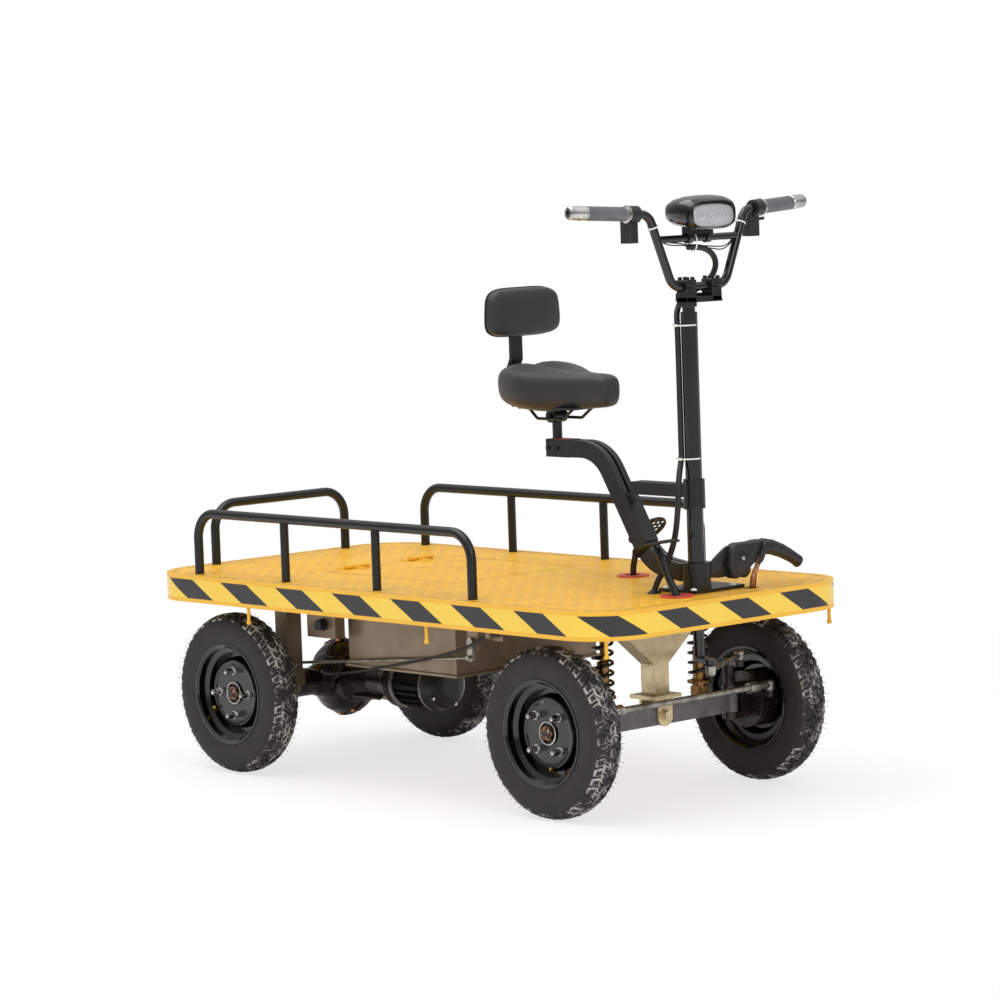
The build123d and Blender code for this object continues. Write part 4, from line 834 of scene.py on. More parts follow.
def on_which(x, y):
    """Where a bar belongs: 'hatch', 'deck' or nowhere, from the lid's edges and the room kept round them."""
    rear, front, right, left = HATCH_EDGES
    inside, outside = HATCH_ROOM
    behind, before, beside = HINGE_ROOM
    in_hatch = rear + inside < x < front - inside and right + inside < y < left - inside
    if in_hatch and not (x < rear + before and right - beside < y < left + beside):
        return "hatch"
    near_edge = rear - outside < x < front + outside and right - outside < y < left + outside
    near_hinge = rear - behind < x < rear + before and right < y < left
    return "deck" if not near_edge and not near_hinge and on_deck(x, y) else None


def make_checker_plate():
    """Bars on a square grid, turned 45 degrees one way and the other in turn, and the lid's pull tabs."""
    bars = {"deck": [], "hatch": []}
    for i, x in enumerate(np.arange(-BAR_START[0], BAR_START[0] + 1, BAR_PITCH)):
        for j, y in enumerate(np.arange(-BAR_START[1], BAR_START[1] + 1, BAR_PITCH)):
            turn = math.radians(45 if (i + j) % 2 else -45)
            where = on_which(x, y)
            if where:
                bars[where].append(raised_bar(x, y, turn))
    piece("deck_raised_bars", join(bars["deck"]), finish["yellow_satin_enamel"], "root", sharp=60)
    piece("hatch_raised_bars", join(bars["hatch"]), finish["yellow_satin_enamel"], "hatch", sharp=60)
    rear, front = HATCH_EDGES[1] - PULL_TAB_REACH[0], HATCH_EDGES[1] - PULL_TAB_REACH[1]
    tabs = [slab(rear, front, low, high, DECK_TOP - BAR_SUNK, DECK_TOP + PULL_TAB_HIGH)
            for low, high in PULL_TABS]
    piece("hatch_pull_tabs", join(tabs), finish["yellow_pull_tape"], "hatch")


make_checker_plate()

# %% [markdown]
# ## Weld tacks on the deck's seam
# The checker plate lies in the folded edge and is tacked to it about every 150 mm. Each tack is a small
# flattened bead, ground down and painted over. Between the tacks the seam's gap lies in shade, and a fine
# dark wire that is sunk in the plate paints that shade as a thin line. Both follow one function, which walks
# round the seam.

# %% Weld tacks
TACK_PITCH = 150.0
FIRST_TACK = 40
# A tack's half length, half width and height
TACK_SIZE = (7, 2.5, 1.4)
TACK_SUNK = 0.2
SEAM_INSET = 22.8
# Bare seam on each side of a tack, and the radius and depth of the dark line of painted shade
SEAM_GAP = 11.0
SEAM_RADIUS = 0.9
SEAM_SUNK = 0.4
CORNER_RADIUS = DECK_CORNER * 1000 - SEAM_INSET
CORNER_X, CORNER_Y = STRAIGHT_X * 1000, STRAIGHT_Y * 1000
SEAM_LENGTH = 4 * (CORNER_X + CORNER_Y) + 2 * math.pi * CORNER_RADIUS


def seam_runs():
    """Straights and corners in turn: length, start or centre in x and y, heading, and if it is a corner."""
    edge_x, edge_y = CORNER_X + CORNER_RADIUS, CORNER_Y + CORNER_RADIUS
    arc = CORNER_RADIUS * math.pi / 2
    return (
        (CORNER_X, 0, -edge_y, 0, False),
        (arc, CORNER_X, -CORNER_Y, 0, True),
        (2 * CORNER_Y, edge_x, -CORNER_Y, 90, False),
        (arc, CORNER_X, CORNER_Y, 90, True),
        (2 * CORNER_X, CORNER_X, edge_y, 180, False),
        (arc, -CORNER_X, CORNER_Y, 180, True),
        (2 * CORNER_Y, -edge_x, CORNER_Y, 270, False),
        (arc, -CORNER_X, -CORNER_Y, 270, True),
        (CORNER_X, -CORNER_X, -edge_y, 0, False),
    )


def seam_place(distance):
    """Point and heading on the seam at a distance along it, from the middle of the right side.

    A straight is start + s (cos h, sin h). A corner is centre + r (sin h, -cos h), and h grows by s / r.
    """
    for length, x, y, degrees, is_corner in seam_runs():
        if distance <= length:
            break
        distance -= length
    heading = math.radians(degrees)
    if is_corner:
        heading += distance / CORNER_RADIUS
        return x + CORNER_RADIUS * math.sin(heading), y - CORNER_RADIUS * math.cos(heading), heading
    return x + distance * math.cos(heading), y + distance * math.sin(heading), heading


def tack_bead(distance):
    """Upper half of an ellipsoid: (l cos e cos t, w cos e sin t, h sin e), turned to the seam's heading."""
    x, y, heading = seam_place(distance)
    half_long, half_wide, high = TACK_SIZE
    t = full_turn(12)
    c, s = math.cos(heading), math.sin(heading)
    rows = []
    for up in np.linspace(0, math.pi / 2, 5):
        a, b = half_long * math.cos(up) * np.cos(t), half_wide * math.cos(up) * np.sin(t)
        level = np.full(12, DECK_TOP - TACK_SUNK + high * math.sin(up))
        rows.append(np.column_stack([x + a * c - b * s, y + a * s + b * c, level]))
    return net(np.array(rows) * MM)


def seam_line(start):
    """Thin dark wire of painted shade from one tack to the next, short of both by the gap."""
    stop = min(start + TACK_PITCH, SEAM_LENGTH + FIRST_TACK)
    reach = np.linspace(start + SEAM_GAP, stop - SEAM_GAP, 12) % SEAM_LENGTH
    path = [(*seam_place(distance)[:2], DECK_TOP - SEAM_SUNK) for distance in reach]
    return tube(np.array(path) * MM, SEAM_RADIUS, 6)


tacks = np.arange(FIRST_TACK, SEAM_LENGTH, TACK_PITCH)
piece("weld_tacks", join(tack_bead(distance) for distance in tacks), finish["yellow_satin_enamel"], "root")
# The seam lines are a dark wire that paints the shade in the seam's gap
piece("seam_shade_lines", join(seam_line(distance) for distance in tacks), finish["painted_seam_shade"], "root")

# %% [markdown]
# ## Tyres
# The solids' tyres are plain and faceted. These have the same section turned smoothly, with faint rings
# on the sidewall, a tread of leaning blocks in five rows, and the short hairs that a new tyre keeps from
# the vents of its mould. A block is a low frustum that is carried round the tyre by its angle, and its
# upper edge is marked as scuffed.

# %% Tyres
AXLE_Z = 216.0
WHEEL_Y = 365.0
# Carcass section: across from the middle and radius, from the right bead over the tread's grooves
CARCASS = (
    (-36, 128.3), (-40, 134), (-42, 140), (-43.6, 146), (-44.2, 147), (-44.4, 151), (-45.2, 157), (-46, 160),
    (-45.6, 163), (-46, 166), (-46, 176), (-45.2, 184), (-44, 190), (-43.2, 191), (-42.6, 194), (-40, 198.5),
    (-36, 201.5), (-31, 204), (-22, 207.5), (-12, 209.6), (0, 210),
)
# Rows of tread blocks: across of the middle, half across, half along, lean, and shift in pitches
TREAD_ROWS = ((-31.0, 8.0, 9.4, 0.45, 0.0), (-14.5, 6.6, 10.6, -0.75, 0.35), (0, 5.8, 9.6, 0.85, 0.0),
              (14.5, 6.6, 10.6, -0.75, 0.65), (31.0, 8.0, 9.4, 0.45, 0.0))
TREAD_PITCHES = 48
# Radius of the tread's top against the distance from the tyre's middle
TREAD_TOP = ((0, 14, 31, 38, 41), (216, 216, 210, 203.5, 199))
# Rings of one block from its foot to its middle: size, depth below the tread's top and scuff
BLOCK_RINGS = ((1.18, 7.0, 0.0), (1.0, 0.6, 1.0), (0.88, 0.0, 0.8), (0.6, 0.0, 0.0), (0.0, 0.0, 0.0))
HAIRS = 84
HAIR_ROOT_RADIUS = 200
HAIR_ROOT_ACROSS = 38.5
HAIR_RADIUS = 0.5
# Shortest hair, and how much longer the longest one is
HAIR_REACH = (6, 9)
# Sine of the angle below which a hair would touch the floor
HAIR_FREE = -0.93


def tread_block(across, angle, half_across, half_along, lean):
    """Rings of one tread block as (r cos t, across, r sin t) in mm, t = angle + along / radius, and scuff."""
    corners = np.array(((-1, -1), (1, -1), (1, 1), (-1, 1)), float)
    rings = []
    for size, depth, _ in BLOCK_RINGS:
        a = across + size * half_across * corners[:, 0]
        along = size * half_along * corners[:, 1] + lean * size * half_across * corners[:, 0]
        radius = np.interp(np.abs(a), *TREAD_TOP) - depth
        t = angle + along / AXLE_Z
        rings.append(np.column_stack([radius * np.cos(t), a, radius * np.sin(t)]))
    return np.array(rings), np.repeat([scuff for _, _, scuff in BLOCK_RINGS], 4)


def mould_hairs(side):
    """Short bent hairs outward from both shoulders, with seeded lengths, left out next to the floor."""
    dice = np.random.default_rng(7 if side > 0 else 11)
    hairs = []
    for edge in SIDES:
        for k in range(HAIRS):
            t = 2 * math.pi * (k + 0.4 * dice.random()) / HAIRS
            out = np.array((math.cos(t), 0, math.sin(t)))
            root = HAIR_ROOT_RADIUS * out + np.array((0, edge * HAIR_ROOT_ACROSS, 0))
            reach = HAIR_REACH[0] + HAIR_REACH[1] * dice.random()
            tip = root + reach * (0.9 * out + np.array((0, edge * 0.4, 0)))
            bend = (root + tip) / 2 + 0.6 * dice.normal(size=3)
            if out[2] > HAIR_FREE:
                hairs.append(tube(np.array((root, bend, tip)) * MM, HAIR_RADIUS, 5))
    return hairs


def make_tyre(name, x, side):
    """Smooth carcass, tread blocks and mould hairs round one wheel."""
    section = list(CARCASS) + [(-a, r) for a, r in reversed(CARCASS[:-1])] + [CARCASS[0]]
    shapes = [revolve(section, (0, 0, 0), (0, 1, 0), 96)]
    worn = [np.zeros(len(shapes[0][0]))]
    for across, half_across, half_along, lean, shift in TREAD_ROWS:
        for k in range(TREAD_PITCHES):
            angle = 2 * math.pi * (k + shift) / TREAD_PITCHES
            rings, scuff = tread_block(across, angle, half_across, half_along, lean)
            shapes.append(net(rings * MM))
            worn.append(scuff)
    for hair in mould_hairs(side):
        shapes.append(hair)
        worn.append(np.zeros(len(hair[0])))
    points, faces = join(shapes)
    points = points + np.array((x, side * WHEEL_Y, AXLE_Z)) * MM
    piece(f"treaded_tyre_{name}", (points, faces), finish["tyre_rubber"], f"wheel_{name}",
          (f"tyre_{name}",), 50, np.concatenate(worn))


for name, (x, side) in WHEELS.items():
    make_tyre(name, x, side)

# %% [markdown]
# ## Bright parts of the wheels
# Long chromed lug nuts stand on their seats in the black rims. Each is a hexagon with a domed end on a
# round collar. In the middle sits a castle nut with its split pin, inside a bright ring. The valve
# stands in the rim well.

# %% Wheel trim
LUG_CIRCLE = 59.6
LUG_TURN = {"front_right": 45, "front_left": 45, "rear_right": 0, "rear_left": 0}
VALVE_TURN = {"front_right": -80, "front_left": -80, "rear_right": -150, "rear_left": -30}
# The castle nut and its pin stay on the axle, so they ride on what carries the wheel
WHEEL_BODY = {
    "front_right": "knuckle_right",
    "front_left": "knuckle_left",
    "rear_right": "root",
    "rear_left": "root",
}
# Profiles outward from the wheel's middle: along the axle and radius in mm
LUG_SEAT = ((13, 0), (13, 12), (17, 12), (19.5, 10.5), (19.5, 0))
LUG_NUT = ((19, 0), (19, 9.2), (42, 9.2), (43.5, 8.2), (43.5, 0))
LUG_DOME = [(42, 0)] + [(42 + 4.6 * math.sin(a), 7.6 * math.cos(a)) for a in np.linspace(0, math.pi / 2, 7)]
HUB_RING = ((18, 26.5), (18, 30.2), (19.2, 29.8), (19.6, 28.3), (19.2, 27.0), (18, 26.5))
CASTLE_FOOT = ((13.5, 0), (13.5, 20), (22, 20), (23.6, 18.5), (23.6, 0))
CASTLE_CROWN = ((23, 0), (23, 13.6), (28, 13.6), (28, 0))
# A crown's tooth: distance from the axle's line and from the wheel's middle, and half sizes
TOOTH_PLACE = (10.6, 29.0)
TOOTH_HALF = (2.4, 2.2, 2.4)
# Split pin from its loop's side to its bent leg: x, outward and z
PIN_ROUTE = ((-12, 26.5, 2), (12, 26.5, 2), (14, 27, 4), (13, 28, 8), (11, 29, 11))
# Valve: radius and offset of its foot, then the steps inward and outward to its bend and to its tip
VALVE_FOOT = (110, 4.0)
VALVE_STEPS = ((12, 6.0), (9, 16.0))


def lug_nuts(name, centre, axis):
    """Four nuts on their circle, each a seat, a hexagon and a dome, and the ring round the axle."""
    shapes = []
    for k in range(4):
        t = math.radians(LUG_TURN[name] + 90 * k)
        place = centre + LUG_CIRCLE * np.array((math.cos(t), 0, math.sin(t)))
        shapes.append(revolve(LUG_SEAT, place, axis, 32))
        shapes.append(revolve(LUG_NUT, place, axis, 6, 15))
        shapes.append(revolve(LUG_DOME, place, axis, 24))
    return join(shapes + [revolve(HUB_RING, centre, axis, 48)])


def castle_nut(centre, axis):
    """Hexagon, crown and six teeth in pairs across from each other."""
    shapes = [revolve(CASTLE_FOOT, centre, axis, 6), revolve(CASTLE_CROWN, centre, axis, 24)]
    dx, dy, dz = TOOTH_HALF
    for k in range(3):
        t = math.radians(60 * k + 20)
        across = np.array((math.cos(t), 0, math.sin(t)))
        for way in SIDES:
            x, y, z = centre + TOOTH_PLACE[1] * np.array(axis) + way * TOOTH_PLACE[0] * across
            shapes.append(slab(x - dx, x + dx, y - dy, y + dy, z - dz, z + dz))
    return join(shapes)


def valve(name, centre, axis):
    """Stem that leaves the rim's well and bends outward, and its cap."""
    t = math.radians(VALVE_TURN[name])
    out = np.array((math.cos(t), 0, math.sin(t)))
    outward = np.array(axis)
    foot = centre + VALVE_FOOT[0] * out + VALVE_FOOT[1] * outward
    bend = foot - VALVE_STEPS[0][0] * out + VALVE_STEPS[0][1] * outward
    tip = bend - VALVE_STEPS[1][0] * out + VALVE_STEPS[1][1] * outward
    stem = tube(np.array((foot, (foot + bend) / 2, bend, (bend + tip) / 2, tip)) * MM, 3.2, 12)
    cap = tube(np.array((tip - 0.55 * (tip - bend), tip + 0.1 * (tip - bend))) * MM, 4.4, 12)
    return join((stem, cap))


def make_wheel_trim(name, x, side):
    """Lug nuts, seats and hub ring in chrome, castle nut in bronze with its pin, valve in brass."""
    axis = (0, side, 0)
    centre = np.array((x, side * WHEEL_Y, AXLE_Z))
    piece(f"wheel_nuts_{name}", lug_nuts(name, centre, axis), finish["bright_plated_steel"], f"wheel_{name}")
    piece(f"castle_nut_{name}", castle_nut(centre, axis), finish["bronze_castle_nut"], WHEEL_BODY[name])
    pin = tube((np.array(PIN_ROUTE) * (1, side, 1) + centre) * MM, 1.5, 8)
    piece(f"split_pin_{name}", pin, finish["bright_plated_steel"], WHEEL_BODY[name])
    piece(f"valve_{name}", valve(name, centre, axis), finish["brass_valve_stem"], f"wheel_{name}")


for name, (x, side) in WHEELS.items():
    make_wheel_trim(name, x, side)

# %% [markdown]
# ## Saddle
# The saddle is moulded foam under stretched vinyl: two raised lobes at the rear with a channel between
# them, and a long blunt nose. Sections across it are rounded ovals that follow a table from the rear to
# the nose, and the channel is pressed in from above. A cover stretched over foam has no folds, so the
# surface is modelled and no cloth is simulated.

# %% Saddle
# Stations from the rear: x, half width, low z, high z and depth of the channel, in mm
SADDLE_STATIONS = (
    (146, 50, 1018, 1066, 2), (148, 66, 1006, 1076, 6), (154, 84, 997, 1088, 11),
    (168, 98, 990, 1096, 15), (190, 109, 985, 1101, 17), (220, 118, 981, 1103, 18),
    (255, 122, 978, 1100, 17), (290, 113, 977, 1094, 14), (322, 94, 979, 1088, 11),
    (352, 73, 982, 1083, 8), (382, 57, 984, 1080, 5), (412, 47, 986, 1078, 3),
    (442, 41, 988, 1077, 1), (466, 37, 990, 1075, 0), (483, 32, 994, 1071, 0),
    (492, 25, 1002, 1064, 0), (496, 14, 1014, 1052, 0),
)


# Powers that square the ovals across and in height, and the channel's width
SADDLE_SQUARE = (0.64, 0.56)
CHANNEL_WIDTH = 26.0
# The sides draw in by this share towards the bottom, over this share of the height
TUCK = (0.10, 0.45)


def make_saddle():
    """Ovals y = w sgn(c) |c|^0.64, z = middle + h sgn(s) |s|^0.56, less the channel d exp(-(y/26)^2)."""
    table = np.array(SADDLE_STATIONS, float)
    rows = np.linspace(0, len(table) - 1, 61)
    index = np.arange(len(table))
    x, wide, low, high, channel = [np.interp(rows, index, column)[:, None] for column in table.T]
    t = full_turn(72)[None, :]
    z = (high + low) / 2 + (high - low) / 2 * squarer(np.sin(t), SADDLE_SQUARE[1])
    tuck = 1 - TUCK[0] + TUCK[0] * np.clip((z - low) / (TUCK[1] * (high - low)), 0, 1)
    y = wide * squarer(np.cos(t), SADDLE_SQUARE[0]) * tuck
    z = z - (np.sin(t) > 0) * channel * np.exp(-(y / CHANNEL_WIDTH) ** 2)
    points = np.stack(np.broadcast_arrays(x + 0 * y, y, z), axis=-1)
    saddle = piece("vinyl_saddle", closed(points), finish["vinyl"], "root", ("saddle",), 60)
    smooth = saddle.modifiers.new("smooth", "SUBSURF")
    smooth.levels = smooth.render_levels = 1


make_saddle()

# %% [markdown]
# ## Backrest
# The backrest is a padded board: a flat back, a side that swells a little, a crowned front and a line of
# piping where the cover meets the back. Rings of one rounded outline grow and shrink from the back's
# middle to the front's.

# %% Backrest
BACKREST_MIDDLE = (140.0, 8.0, 1231.0)
BACKREST_HALF = (125.0, 62.0)
# Rings from the back to the front: forwards in mm and size against the outline
BACKREST_RINGS = (
    (0, 0.0), (0, 0.5), (0, 0.9), (1, 0.95), (3, 0.975), (8, 0.985), (16, 1.0), (24, 0.995), (31, 0.97),
    (36, 0.92), (40, 0.82), (42.5, 0.66), (44, 0.45), (44.6, 0.2), (44.8, 0.0),
)


# Powers that square the outline across and in height
BACKREST_SQUARE = (0.42, 0.46)
# The front is crowned: this far above and below its middle it lies this much further back
CROWN_SPAN = 61
CROWN = 2.5
# Only what lies further forwards than this is crowned
CROWN_FROM = 20
# Piping: size against the outline, forwards and radius
PIPING = (0.995, 7.0, 2.4)


def backrest_outline(t, size):
    """Rounded outline: y and z are the half sizes times sgn(w) |w|^p of cosine and sine, wider below."""
    z = size * BACKREST_HALF[1] * squarer(np.sin(t), BACKREST_SQUARE[1])
    taper = 0.985 - 0.035 * z / BACKREST_HALF[1]
    return size * BACKREST_HALF[0] * squarer(np.cos(t), BACKREST_SQUARE[0]) * taper, z


def make_backrest():
    """Pad with its piping."""
    t = full_turn(96)
    rows = []
    for forwards, size in BACKREST_RINGS:
        y, z = backrest_outline(t, size)
        x = forwards - CROWN * (z / CROWN_SPAN) ** 2 * (forwards > CROWN_FROM)
        rows.append(np.column_stack([x, y, z]))
    pad = np.array(rows) + np.array(BACKREST_MIDDLE)
    rest = piece("vinyl_backrest", net(pad * MM), finish["vinyl"], "root", ("backrest_pad",), 60)
    smooth = rest.modifiers.new("smooth", "SUBSURF")
    smooth.levels = smooth.render_levels = 1
    size, forwards, radius = PIPING
    y, z = backrest_outline(np.append(t, t[:2]), size)
    line = np.column_stack([np.full(len(y), forwards), y, z]) + np.array(BACKREST_MIDDLE)
    piece("backrest_piping", tube(line * MM, radius, 10), finish["black_moulded_rubber"], "root")


make_backrest()

# %% [markdown]
# ## Springs
# The front springs are round wire in six turns. The solids draw the wire with eight sides, so here it is
# swept again, smooth, on the same helix.

# %% Springs
SPRING_X, SPRING_Y = 600.0, 170.0
SPRING_TURNS = 6
SPRING_COIL = 25.0
WIRE = 4
SPRING_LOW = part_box("springs")[0][2] * 1000 + WIRE
SPRING_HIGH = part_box("springs")[1][2] * 1000 - WIRE


def make_springs():
    """Helix: (r cos t, r sin t, low + rise t / (2 pi turns))."""
    t = np.linspace(0, 2 * np.pi * SPRING_TURNS, 24 * SPRING_TURNS + 1)
    z = SPRING_LOW + (SPRING_HIGH - SPRING_LOW) * t / t[-1]
    coils = []
    for side in SIDES:
        x, y = SPRING_X + SPRING_COIL * np.cos(t), side * SPRING_Y + SPRING_COIL * np.sin(t)
        coils.append(tube(np.column_stack([x, y, z]) * MM, WIRE, 12))
    piece("coil_springs", join(coils), finish["gloss_black_enamel"], "root", ("springs",))


make_springs()

# %% [markdown]
# ## Grips
# The grips are bright ends with a grey sleeve that has a diamond knurl for the hand. The knurl is the
# crossing of two families of shallow spiral ribs, so the radius is the sleeve's plus the higher of two
# cosines.

# %% Grips
GRIP_LINE = ((810, 168, 1483), (782, 408, 1496))
# The grip begins at this y, and the sleeve lies between these distances along it
GRIP_FROM_Y = 232
SLEEVE = (9.0, 126.0)
SLEEVE_RADIUS = 17.2
# Both of the sleeve's ends are turned down by this much
SLEEVE_END = 1.5
KNURL_DEPTH = 0.55
KNURL_RIBS = 16
# Turn of a rib in radians for each mm along
KNURL_TWIST = 1.1


def make_sleeves():
    """Radius: r + d max(cos(16 t + k s), cos(16 t - k s)) along the sleeve, s along it and t round it."""
    along = np.linspace(*SLEEVE, 118)[:, None]
    t = full_turn(96)[None, :]
    twist = along * KNURL_TWIST
    ribs = np.maximum(np.cos(KNURL_RIBS * t + twist), np.cos(KNURL_RIBS * t - twist))
    radius = SLEEVE_RADIUS + KNURL_DEPTH * ribs
    radius[0] = radius[-1] = SLEEVE_RADIUS - SLEEVE_END
    sleeves = []
    for side in SIDES:
        start, end = [np.array((x, side * y, z), float) for x, y, z in GRIP_LINE]
        axis = (end - start) / np.linalg.norm(end - start)
        foot = start + axis * (GRIP_FROM_Y - GRIP_LINE[0][1]) / abs(axis[1])
        u, v, a = axes_about(axis)
        ring = np.cos(t)[..., None] * u + np.sin(t)[..., None] * v
        sleeves.append(net((foot + along[..., None] * a + radius[..., None] * ring) * MM))
    piece("knurled_sleeves", join(sleeves), finish["grey_grip_rubber"], "steering", sharp=70)


make_sleeves()

# %% [markdown]
# ## Headlight
# The lamp is a moulded drop: a pointed tail, a wide face and a peak over the lens. Behind the lens lies a
# bright reflector with four light-emitting diodes. The shell is a loft of rounded sections, with the same
# place and foot as the solid.

# %% Headlight
# Shell from tail to face: x, half width, low z and high z in mm
LAMP_STATIONS = (
    (734, 20, 1472, 1490), (740, 36, 1465, 1500), (754, 54, 1457, 1510), (776, 67, 1450, 1518),
    (802, 75, 1445, 1523), (830, 79.5, 1442, 1525), (852, 80, 1440, 1523), (866, 78, 1441, 1518),
    (872, 74, 1444, 1512), (861, 72, 1446, 1506),
)
LENS_STATIONS = (
    (859, 75, 1443, 1504), (866, 73, 1445, 1502), (871, 66, 1450, 1497), (874, 52, 1458, 1489),
    (875.5, 26, 1467, 1480),
)
REFLECTOR_STATIONS = ((861.5, 72, 1446, 1502), (862.5, 71, 1447, 1501))
# Foot on the cross bar from x to x, y to y and z to z, and the two bands that clasp the bar under it
LAMP_FOOT = (796, 826, -40, 40, 1428, 1458)
LAMP_BAND = ((-8, 9), (-8, 13), (8, 13), (8, 9), (-8, 9))
BAND_PLACES = ((810, -32, 1420), (810, 32, 1420))
# Each diode is a small cup round a dome: their x, the y of all four, and their z
DIODE_CUP = ((0, 0), (0, 11), (2.5, 11), (2.5, 8), (0.8, 5.5))
DIODE_CUP_X, DIODE_DOME_X = 862.6, 863
DIODE_Y = (-40, -13, 13, 40)
DIODE_Z = 1474


def drop(stations, power=0.62, steps=64):
    """Loft of ovals y = w sgn(c) |c|^p, z = middle + h sgn(s) |s|^p, closed at both ends."""
    table = np.array(stations, float)
    x, wide, low, high = [column[:, None] for column in table.T]
    t = full_turn(steps)[None, :]
    y = wide * squarer(np.cos(t), power)
    z = (high + low) / 2 + (high - low) / 2 * squarer(np.sin(t), power)
    return closed(np.stack(np.broadcast_arrays(x + 0 * y, y, z), axis=-1))


def make_headlight():
    """Shell with its foot and bands, reflector, diodes and lens."""
    bands = [revolve(LAMP_BAND, place, (0, 1, 0)) for place in BAND_PLACES]
    shell = join([drop(LAMP_STATIONS), slab(*LAMP_FOOT)] + bands)
    piece("headlight_shell", shell, finish["glossy_black_plastic"], "steering", ("headlight",), 50)
    reflector = drop(REFLECTOR_STATIONS)
    piece("headlight_reflector", reflector, finish["metallised_reflector"], "steering", sharp=60)
    diodes = []
    for y in DIODE_Y:
        diodes.append(revolve(DIODE_CUP, (DIODE_CUP_X, y, DIODE_Z), (1, 0, 0), 24))
        diodes.append(dome_head((DIODE_DOME_X, y, DIODE_Z), (1, 0, 0), 8, 3.5))
    piece("headlight_diodes", join(diodes), finish["diode_resin"], "steering")
    piece("headlight_cover", drop(LENS_STATIONS, 0.66), finish["lens"], "steering", ("headlight_lens",), 60)


make_headlight()

# %% [markdown]
# ## Bolts and small parts
# Fasteners are hexagon or round heads in their real places: four on each bar clamp, the white-capped ones
# on the column's base plate and under the deck's lip, the ring round the differential, the motor's end
# bell and the seat's pivot. One table per kind keeps them easy to move. The bar clamps are made again as
# well: the real ones are split blocks with a gap where they close on the bar, and a bevel rounds them.

# %% Bolts
# Bar clamps: each block from x to x, and its middle and half width in y
CLAMP_X = (791, 829)
CLAMP_Y = 44
CLAMP_HALF_WIDE = 17
# Bottom of the lower half on the right and the left, its top, and the upper half from z to z
CLAMP_BOTTOM = {-1: 1251, 1: 1262}
CLAMP_SPLIT = 1297
CLAMP_UPPER = (1300, 1318)
# Plate that joins both blocks, and its lug towards the column: x to x, y to y and z to z
CLAMP_PLATES = ((791, 829, -61, 61, 1262, 1276), (750, 800, -24, 24, 1262, 1283))
CLAMP_BEVEL = 2.0
BASE_CAPS = ((690, -27), (790, -30), (690, 120), (792, 108))
# White caps that look out from under the deck's lip, on the right side and in front
LIP_CAPS = ((-331, -430, 466), (42, -430, 466), (400, -430, 466), (880, 102, 466))
# Circle of bolts on both faces of the differential's flange: middle, radius and half the flange's width
FLANGE_MIDDLE = (-617.5, 1, AXLE_Z)
FLANGE_BOLTS = 12
FLANGE_CIRCLE = 101
FLANGE_HALF = 5
# Circle of bolts on the motor's bell: middle, radius and angles
BELL_MIDDLE = (-185, 0, 222)
BELL_CIRCLE = 58
BELL_ANGLES = (0.5, 2.07, 3.64, 5.21)
SEAT_STRIP = (285, 335, -16, 2, 904.8, 906)


def clamp_blocks():
    """Both clamps as two halves each, with the plate that joins them."""
    blocks = [slab(*plate) for plate in CLAMP_PLATES]
    for side, low in CLAMP_BOTTOM.items():
        right, left = side * CLAMP_Y - CLAMP_HALF_WIDE, side * CLAMP_Y + CLAMP_HALF_WIDE
        for bottom, top in ((low, CLAMP_SPLIT), CLAMP_UPPER):
            blocks.append(slab(*CLAMP_X, right, left, bottom, top))
    return join(blocks)


def flange_bolts():
    """Heads on both faces: P = middle + (r cos t, side half, r sin t)."""
    heads = []
    for k in range(FLANGE_BOLTS):
        t = 2 * math.pi * k / FLANGE_BOLTS
        for side in SIDES:
            offset = (FLANGE_CIRCLE * math.cos(t), side * FLANGE_HALF, FLANGE_CIRCLE * math.sin(t))
            heads.append(bolt_head(np.array(FLANGE_MIDDLE) + offset, (0, side, 0), 15, 10))
    return join(heads)


def bell_bolts():
    """Heads on the motor's front: P = middle + (0, r cos t, r sin t)."""
    heads = []
    for t in BELL_ANGLES:
        place = np.array(BELL_MIDDLE) + BELL_CIRCLE * np.array((0, math.cos(t), math.sin(t)))
        heads.append(bolt_head(place, (1, 0, 0), 9, 5))
    return join(heads)


def make_bolts():
    """Clamp blocks, and every fastener group as one piece on the body it belongs to."""
    blocks = piece("bar_clamp_blocks", clamp_blocks(), finish["satin_black_powder_coat"], "steering",
                   ("bar_clamps",))
    edge = blocks.modifiers.new("edge", "BEVEL")
    edge.width = CLAMP_BEVEL * MM
    edge.segments = 2
    clamps = [bolt_head((810 + dx, side * CLAMP_Y + dy, CLAMP_UPPER[1]), (0, 0, 1), 11, 7)
              for side in SIDES for dx in (-13, 13) for dy in (-9, 9)]
    piece("clamp_bolts", join(clamps), finish["black_painted_casting"], "steering")
    base = [dome_head((x, y, 545), (0, 0, 1), 17, 6) for x, y in BASE_CAPS]
    piece("base_plate_caps", join(base), finish["white_nylon"], "root")
    caps = [dome_head(place, (0, 0, -1), 15, 7) for place in LIP_CAPS]
    piece("lip_caps", join(caps), finish["white_nylon"], "root")
    piece("differential_bolts", flange_bolts(), finish["copper_plated_bolt"], "root")
    piece("motor_bolts", bell_bolts(), finish["bright_plated_steel"], "root")
    seat = [bolt_head((282, side * 24, 964), (0, side, 0), 16, 8) for side in SIDES]
    seat += [bolt_head((x, -22, 882), (0, -1, 0), 12, 5) for x in (268, 300)]
    piece("seat_bolts", join(seat), finish["black_painted_casting"], "root")
    piece("seat_block_strip", slab(*SEAT_STRIP), finish["red_moulded_rubber"], "root")


make_bolts()

# %% [markdown]
# ## Hand brake
# The hand brake is a moulded shroud round a ratchet, with a curved hollow grip and a bronze arm that goes
# down through the deck. The solids have its main shapes with sharp corners. A moulding has none, so each
# outline has its corners cut a few times, and is drawn in a little at both faces.

